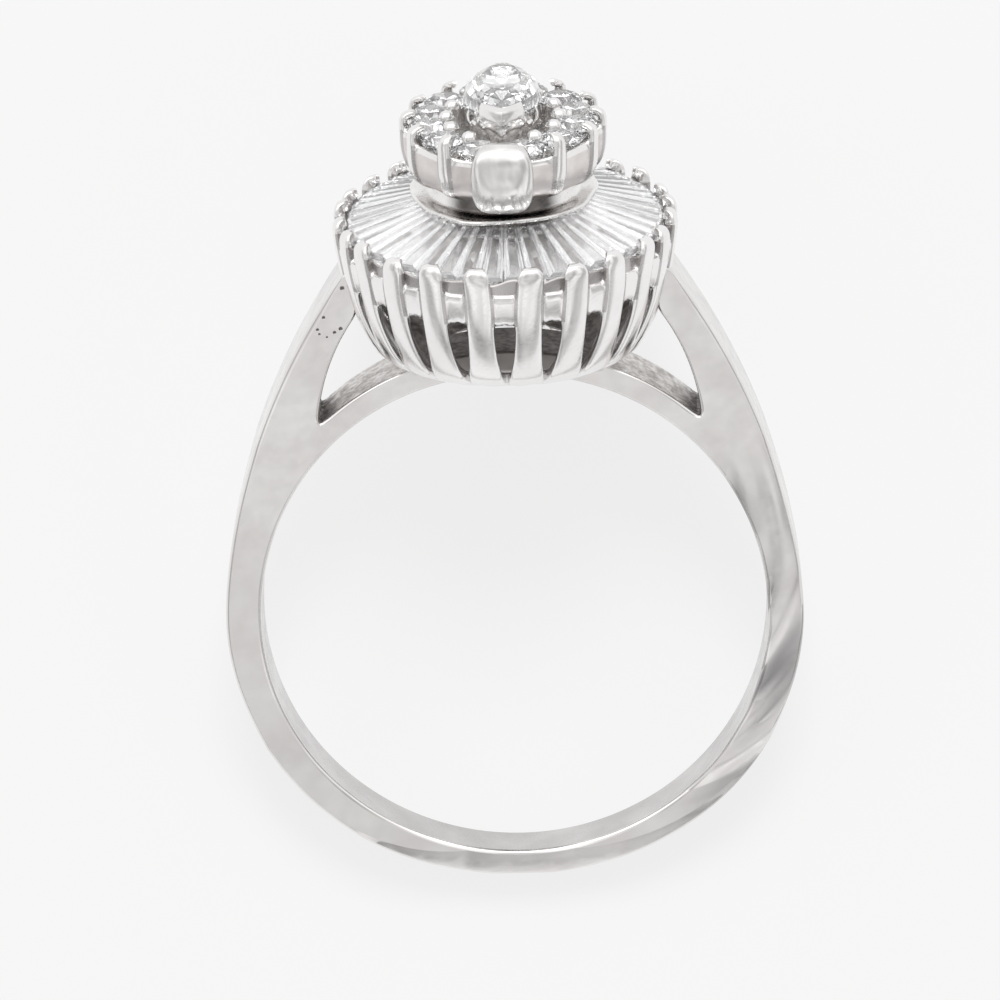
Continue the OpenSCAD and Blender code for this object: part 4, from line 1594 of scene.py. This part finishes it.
@dataclass
class Cutter:
    """Cuts stones by taking flats off a block with an outline of its own."""

    finishes: Finishes

    def cut(self, name: str, outline: list[Vector], facets: list[Facet], top: float,
            bottom: float) -> Piece:
        """Cuts one stone.

        Args:
            name: Name of the stone.
            outline: Its widest outline, at height 0.
            facets: The flats, in the order to grind them.
            top: Height of its table.
            bottom: Height below which its keel is ground away.

        Returns:
            The stone, with its girdle at height 0.
        """
        rows = [[Vector((p.x, p.y, z)) for p in outline] for z in (bottom, top)]
        stone, _ = Bench.raise_rows(name, rows, cap=True)
        Bench.face_out(stone)
        bpy.ops.object.mode_set(mode="EDIT")
        for facet in facets:
            turn, slope = radians(facet.turn), radians(facet.slope)
            level = Vector((sin(turn), -cos(turn), 0))
            out = max(p.x * level.x + p.y * level.y for p in outline)
            bpy.ops.mesh.select_all(action="SELECT")
            bpy.ops.mesh.bisect(
                plane_co=level * out + Vector((0, 0, facet.height)),
                plane_no=level * sin(slope) + Vector((0, 0, cos(slope) * facet.up)),
                use_fill=True, clear_outer=True,
            )
        bpy.ops.object.mode_set(mode="OBJECT")
        Bench.dress(stone, self.finishes.stone)
        return stone


@dataclass
class RoundStones:
    """Twelve round brilliants in the crown, cut once and copied."""

    count: int = 12
    radius: float = 0.745
    ring_x: float = 2.5
    ring_y: float = 3.62
    girdle: float = 17.42
    edge: float = 0.03
    flats: tuple[tuple[int, float, float, float, int], ...] = (
        (8, 0.0, 34, 0.0, 1), (16, 11.25, 41, 0.0, 1), (8, 22.5, 22, 0.105, 1),
        (8, 0.0, 41, 0.0, -1), (16, 11.25, 43, 0.0, -1),
    )
    table: float = 0.31
    keel: float = -1.2
    points: int = 64
    twist: float = 37.0

    def facets(self) -> list[Facet]:
        """Returns a round brilliant's flats, from their rows of count, first turn, slope, rise and side."""
        return [
            Facet(360 / count * k + start, slope, up * self.edge + rise, up)
            for count, start, slope, rise, up in self.flats
            for k in range(count)
        ]

    def build(self, cutter: Cutter) -> list[Piece]:
        """Returns the twelve stones."""
        outline = [oval(360 * k / self.points, self.radius, self.radius, 0) for k in range(self.points)]
        first = cutter.cut("round_cut", outline, self.facets(), self.table * self.radius,
                           self.keel * self.radius)
        stones = []
        for k in range(1, self.count + 1):
            t = even(360 * (k - 0.5) / self.count, self.ring_x, self.ring_y)
            move = Matrix.Translation(oval(t, self.ring_x, self.ring_y, self.girdle)) @ Matrix.Rotation(
                radians(t + self.twist * k), 4, "Z")
            stone = Bench.copy(first, f"round_cut_{k}", move)
            stones.append(Bench.lay_down(stone, Node.ROUND.value + str(k), Slot.STONE))
        bpy.data.objects.remove(first)
        return stones


@dataclass
class MarquiseStone:
    """The pointed oval stone on top."""

    width: float = 2.64
    length: float = 5.66
    girdle: float = 18.22
    table: float = 0.72
    keel: float = -1.45
    edge: float = 0.04
    points: int = 96

    def build(self, cutter: Cutter) -> Piece:
        """Returns the finished stone."""
        across, along = self.width / 2, self.length / 2
        outline = [pointed_oval(360 * k / self.points, across, along, 0) for k in range(self.points)]
        sides = [middle + s * a for middle in (90, 270) for a in (8, 24, 41) for s in (-1, 1)]
        between = sorted({middle + s * a for middle in (90, 270) for a in (0, 16, 33, 48) for s in (-1, 1)})
        ends = [0, 180]
        steps = (
            (sorted({*between, *sides}), 72, 0.0, 1), (sides, 38, 0.26, 1), (between, 40, 0.25, 1),
            (between, 24, 0.38, 1), (ends, 30, 0.0, 1), (sides, 46, 0.0, -1), (between, 50, 0.0, -1),
            (ends, 26, 0.0, -1),
        )
        flats = [
            Facet(turn, slope, up * self.edge + above, up)
            for turns, slope, above, up in steps
            for turn in turns
        ]
        stone = cutter.cut("marquise_cut", outline, flats, self.table, self.keel)
        stone.data.transform(Matrix.Translation((0, 0, self.girdle)))
        return Bench.lay_down(stone, Node.MARQUISE.value, Slot.STONE)


@dataclass
class TaperedStones:
    """Forty-eight tapered step-cut stones, as one field of stones."""

    count: int = 48
    out_x: float = 5.36
    out_y: float = 6.86
    in_x: float = 2.8
    in_y: float = 3.55
    top_out: float = 14.08
    top_in: float = 14.88
    gap: float = 0.025
    crown_steps: tuple[tuple[float, float], ...] = ((0.76, 40), (0.46, 22))
    pavilion_steps: tuple[tuple[float, float], ...] = ((0.64, 48), (0.3, 45), (0.03, 42))
    girdle: float = 0.04
    end_share: float = 0.8
    ground_from: float = 0.965
    ground_lean: float = 0.3

    def one(self, k: int) -> Piece:
        """Returns the stone of one place, modelled flat and then set in its place."""
        u = 360 * (k + 0.5) / self.count
        t = even(u, self.out_x, self.out_y)
        inner = oval(t, self.in_x, self.in_y, self.top_in)
        outer = oval(t, self.out_x, self.out_y, self.top_out)
        side = even(u + 180 / self.count, self.out_x, self.out_y) - t
        other = t - even(u - 180 / self.count, self.out_x, self.out_y)
        along = outer - inner
        across = Vector((along.y, -along.x, 0)).normalized()

        def half(a: float, b: float, turn: float, middle: Vector) -> float:
            """Returns half the stone's width at one end."""
            return abs((oval(t + turn, a, b, middle.z) - middle).dot(across)) - self.gap / 2

        widths = [
            (half(self.in_x, self.in_y, side, inner), half(self.in_x, self.in_y, -other, inner)),
            (half(self.out_x, self.out_y, side, outer), half(self.out_x, self.out_y, -other, outer)),
        ]
        Bench.clear()
        bpy.ops.mesh.primitive_plane_add(size=1)
        stone = bpy.context.object
        bpy.ops.object.mode_set(mode="EDIT")
        self.place(stone, widths, along.length, 1.0, 0.0, -self.girdle / 2)
        bpy.ops.mesh.extrude_region_move()
        self.place(stone, widths, along.length, 1.0, 0.0, self.girdle / 2)
        rise = self.steps(stone, widths, along.length, self.crown_steps, 1)
        bpy.ops.mesh.select_all(action="DESELECT")
        mesh = bmesh.from_edit_mesh(stone.data)
        for face in mesh.faces:
            face.select = all(v.co.z < 0 for v in face.verts)
        bmesh.update_edit_mesh(stone.data)
        self.steps(stone, widths, along.length, self.pavilion_steps, -1)
        bpy.ops.mesh.select_all(action="SELECT")
        bpy.ops.mesh.normals_make_consistent(inside=False)
        bpy.ops.object.mode_set(mode="OBJECT")
        drop = rise + self.girdle / 2
        length = along.normalized()
        up = across.cross(length).normalized()
        move = Matrix((
            (across.x, length.x, up.x, inner.x),
            (across.y, length.y, up.y, inner.y),
            (across.z, length.z, up.z, inner.z),
            (0, 0, 0, 1),
        )) @ Matrix.Translation((0, 0, -drop))
        stone.data.transform(move)
        return stone

    def place(self, stone: Piece, widths: Pairs, length: float, share: float,
              inset: float, height: float) -> None:
        """Moves the four selected corners of a stone to one of its steps.

        Args:
            stone: The stone, in edit mode.
            widths: Half-widths to its left and right, at the inner and then the outer end.
            length: Length of the stone.
            share: Share of the half-widths that is left at this step.
            inset: How far the step is from the stone's ends.
            height: Height of the step at half of the greatest width.
        """
        mesh = bmesh.from_edit_mesh(stone.data)
        corners = [v for v in mesh.verts if v.select]
        middle = sum((v.co for v in corners), Vector()) / 4
        for vertex in corners:
            end = 1 if vertex.co.y > middle.y else 0
            right = vertex.co.x > middle.x
            half = widths[end][1] if right else -widths[end][0]
            depth = abs(half) / max(widths[1]) if abs(height) > self.girdle / 2 else 1.0
            vertex.co = Vector((half * share, length * end + inset * (1 - 2 * end), height * depth))
        bmesh.update_edit_mesh(stone.data)

    def steps(self, stone: Piece, widths: Pairs, length: float,
              steps: tuple[tuple[float, float], ...], way: int) -> float:
        """Extrudes the steps of one side of a stone.

        Args:
            stone: The stone, in edit mode, with that side's face selected.
            widths: Half-widths to its left and right, at the inner and then the outer end.
            length: Length of the stone.
            steps: For each step the share of the width that is left, and the slope in degrees.
            way: 1 for the crown, or -1 for the pavilion.

        Returns:
            How far the last step is from the girdle.
        """
        widest = max(widths[1])
        share, rise = 1.0, 0.0
        for left, slope in steps:
            rise += (share - left) * widest * tan(radians(slope))
            share = left
            bpy.ops.mesh.extrude_region_move()
            self.place(stone, widths, length, share, (1 - share) * widest * self.end_share,
                       way * (self.girdle / 2 + rise))
        return rise

    def build(self, cutter: Cutter) -> Piece:
        """Returns the whole field of stones."""
        stones = []
        for k in range(self.count // 4):
            stone = self.one(k)
            stones.append(stone)
            for mirror in ((-1, 1, 1), (1, -1, 1), (-1, -1, 1)):
                stones.append(Bench.copy(stone, "tapered", Matrix.Diagonal((*mirror, 1))))
        field_of_stones = Bench.join("tapered_cuts", stones)
        Bench.dress(field_of_stones, cutter.finishes.tapered, cutter.finishes.ground)
        for face in field_of_stones.data.polygons:
            out = hypot(face.center.x / self.out_x, face.center.y / self.out_y)
            face.material_index = int(out > self.ground_from and face.normal.z < self.ground_lean)
        return Bench.lay_down(field_of_stones, Node.TAPERED.value, Slot.STONE)


@dataclass
class Studio:
    """Floor, soft light and camera."""

    elevation: float = 19.5
    azimuth: float = 1.0
    roll: float = 1.5
    distance: float = 250.0
    scale: float = 29.14
    middle: tuple[float, float] = (515.1, 607.5)
    frame_size: int = 1000
    sensor: float = 36.0
    room: tuple[tuple[float, float], ...] = (
        (0.0, 0.6), (0.1, 0.8), (0.2, 0.56), (0.28, 0.52), (0.34, 1.05), (0.55, 1.2),
        (0.66, 1.1), (0.7, 0.78), (0.74, 0.72), (0.79, 0.93), (0.93, 0.9), (1.0, 0.85),
    )
    tint: Colour = (1.0, 0.995, 0.99)
    window: tuple[float, ...] = (0.25, 0.95, 1.0, 2.7)
    patch_waves: float = 2.2
    patches: tuple[float, ...] = (0.36, 0.64, 0.72, 1.15)
    room_light: float = 0.8
    floor_size: float = 3.0
    floor_tone: float = 0.08
    floor_glow: float = 0.79
    near: float = 0.01
    far: float = 20.0
    glossy_bounces: int = 10
    bounces: int = 16
    soft_boxes: tuple[tuple[str, Place, float, float], ...] = (
        ("softbox_above", (0.02, 0.42, 0.5), 0.22, 4.2),
        ("softbox_left", (-0.55, 0.05, 0.35), 0.3, 0.5),
        ("softbox_right", (0.5, -0.15, 0.4), 0.25, 0.4),
    )

    def camera(self) -> None:
        """Places the camera at the photograph's angle to the ring."""
        el, az, roll = radians(self.elevation), radians(self.azimuth), radians(self.roll)
        towards = Vector((sin(az) * cos(el), -cos(az) * cos(el), sin(el)))
        right = (-towards).cross(Vector((0, 0, 1))).normalized()
        up = right.cross(-towards)
        right, up = right * cos(roll) - up * sin(roll), right * sin(roll) + up * cos(roll)
        half = self.frame_size / 2
        target = right * ((half - self.middle[0]) / self.scale) + up * ((self.middle[1] - half) / self.scale)
        turned = Matrix((right, up, towards)).transposed().to_4x4()
        turned.translation = target + towards * self.distance
        placed = LYING.matrix() @ turned
        data = bpy.data.cameras.new("camera")
        camera = bpy.data.objects.new("camera", data)
        bpy.context.scene.collection.objects.link(camera)
        rotation = placed.to_3x3().normalized().to_4x4()
        camera.matrix_world = Matrix.Translation(placed.translation) @ rotation
        data.sensor_width = self.sensor
        data.lens = self.sensor * self.distance * self.scale / self.frame_size
        data.clip_start = self.near
        data.clip_end = self.far
        bpy.context.scene.camera = camera

    def floor(self) -> None:
        """Lays the plain pale floor."""
        Bench.clear()
        bpy.ops.mesh.primitive_plane_add(size=self.floor_size, location=(0, 0, 0))
        floor = bpy.context.object
        floor.name = floor.data.name = "floor"
        Bench.dress(floor, Nodes("pale_floor").finish({
            "Base Color": (self.floor_tone, self.floor_tone, self.floor_tone, 1),
            "Emission Color": (1, 1, 1, 1),
            "Emission Strength": self.floor_glow,
            "Roughness": 0.9,
            "Specular IOR Level": 0.0,
        }))

    def world(self) -> None:
        """Surrounds the ring with a white room that has a few darker bands, for the metal to show."""
        world = bpy.data.worlds.new("room")
        bpy.context.scene.world = world
        world.use_nodes = True
        n = Tree(world.node_tree, "Generated")
        _, ahead, height = n.parts(n.place)
        bands = n.ramp(height, *(
            (at, tuple(light * share for share in self.tint)) for at, light in self.room
        ))
        window = n.scale_to(ahead, *self.window, Ease.STRAIGHT)
        patches = n.scale_to(n.noise(self.patch_waves, 1.0), *self.patches, Ease.STRAIGHT)
        background = n.tree.nodes["Background"]
        n.feed(n.vector("MULTIPLY", n.vector("MULTIPLY", bands, window), patches), background.inputs["Color"])
        background.inputs["Strength"].default_value = self.room_light

    def lights(self) -> None:
        """Hangs the soft boxes."""
        for name, place, size, power in self.soft_boxes:
            data = bpy.data.lights.new(name, "AREA")
            data.shape = "RECTANGLE"
            data.size = data.size_y = size
            data.energy = power
            light = bpy.data.objects.new(name, data)
            bpy.context.scene.collection.objects.link(light)
            light.visible_glossy = False
            light.location = place
            light.rotation_euler = (-Vector(place)).to_track_quat("-Z", "Y").to_euler()

    def build(self) -> None:
        """Sets up the whole studio."""
        self.floor()
        self.world()
        self.lights()
        self.camera()
        bpy.context.scene.view_settings.view_transform = "Standard"
        bpy.context.scene.cycles.glossy_bounces = self.glossy_bounces
        bpy.context.scene.cycles.max_bounces = self.bounces
        LOG.info("studio ready")


def main() -> None:
    """Builds every piece in order."""
    logging.basicConfig(level=logging.INFO, format="%(name)s: %(message)s")
    Studio().build()
    finishes = Finishes()
    Shank().build(finishes)
    Skirt().build(finishes)
    seat = Seat()
    seat.build(finishes)
    seat.ledge(finishes)
    Collar().build(finishes)
    crown = Crown()
    crown.cup(finishes)
    crown.wide_prongs(finishes)
    crown.inner_prongs(finishes)
    crown.floor(finishes)
    Collet().build(finishes)
    cutter = Cutter(finishes)
    TaperedStones().build(cutter)
    RoundStones().build(cutter)
    MarquiseStone().build(cutter)


if __name__ == "__main__":
    main()
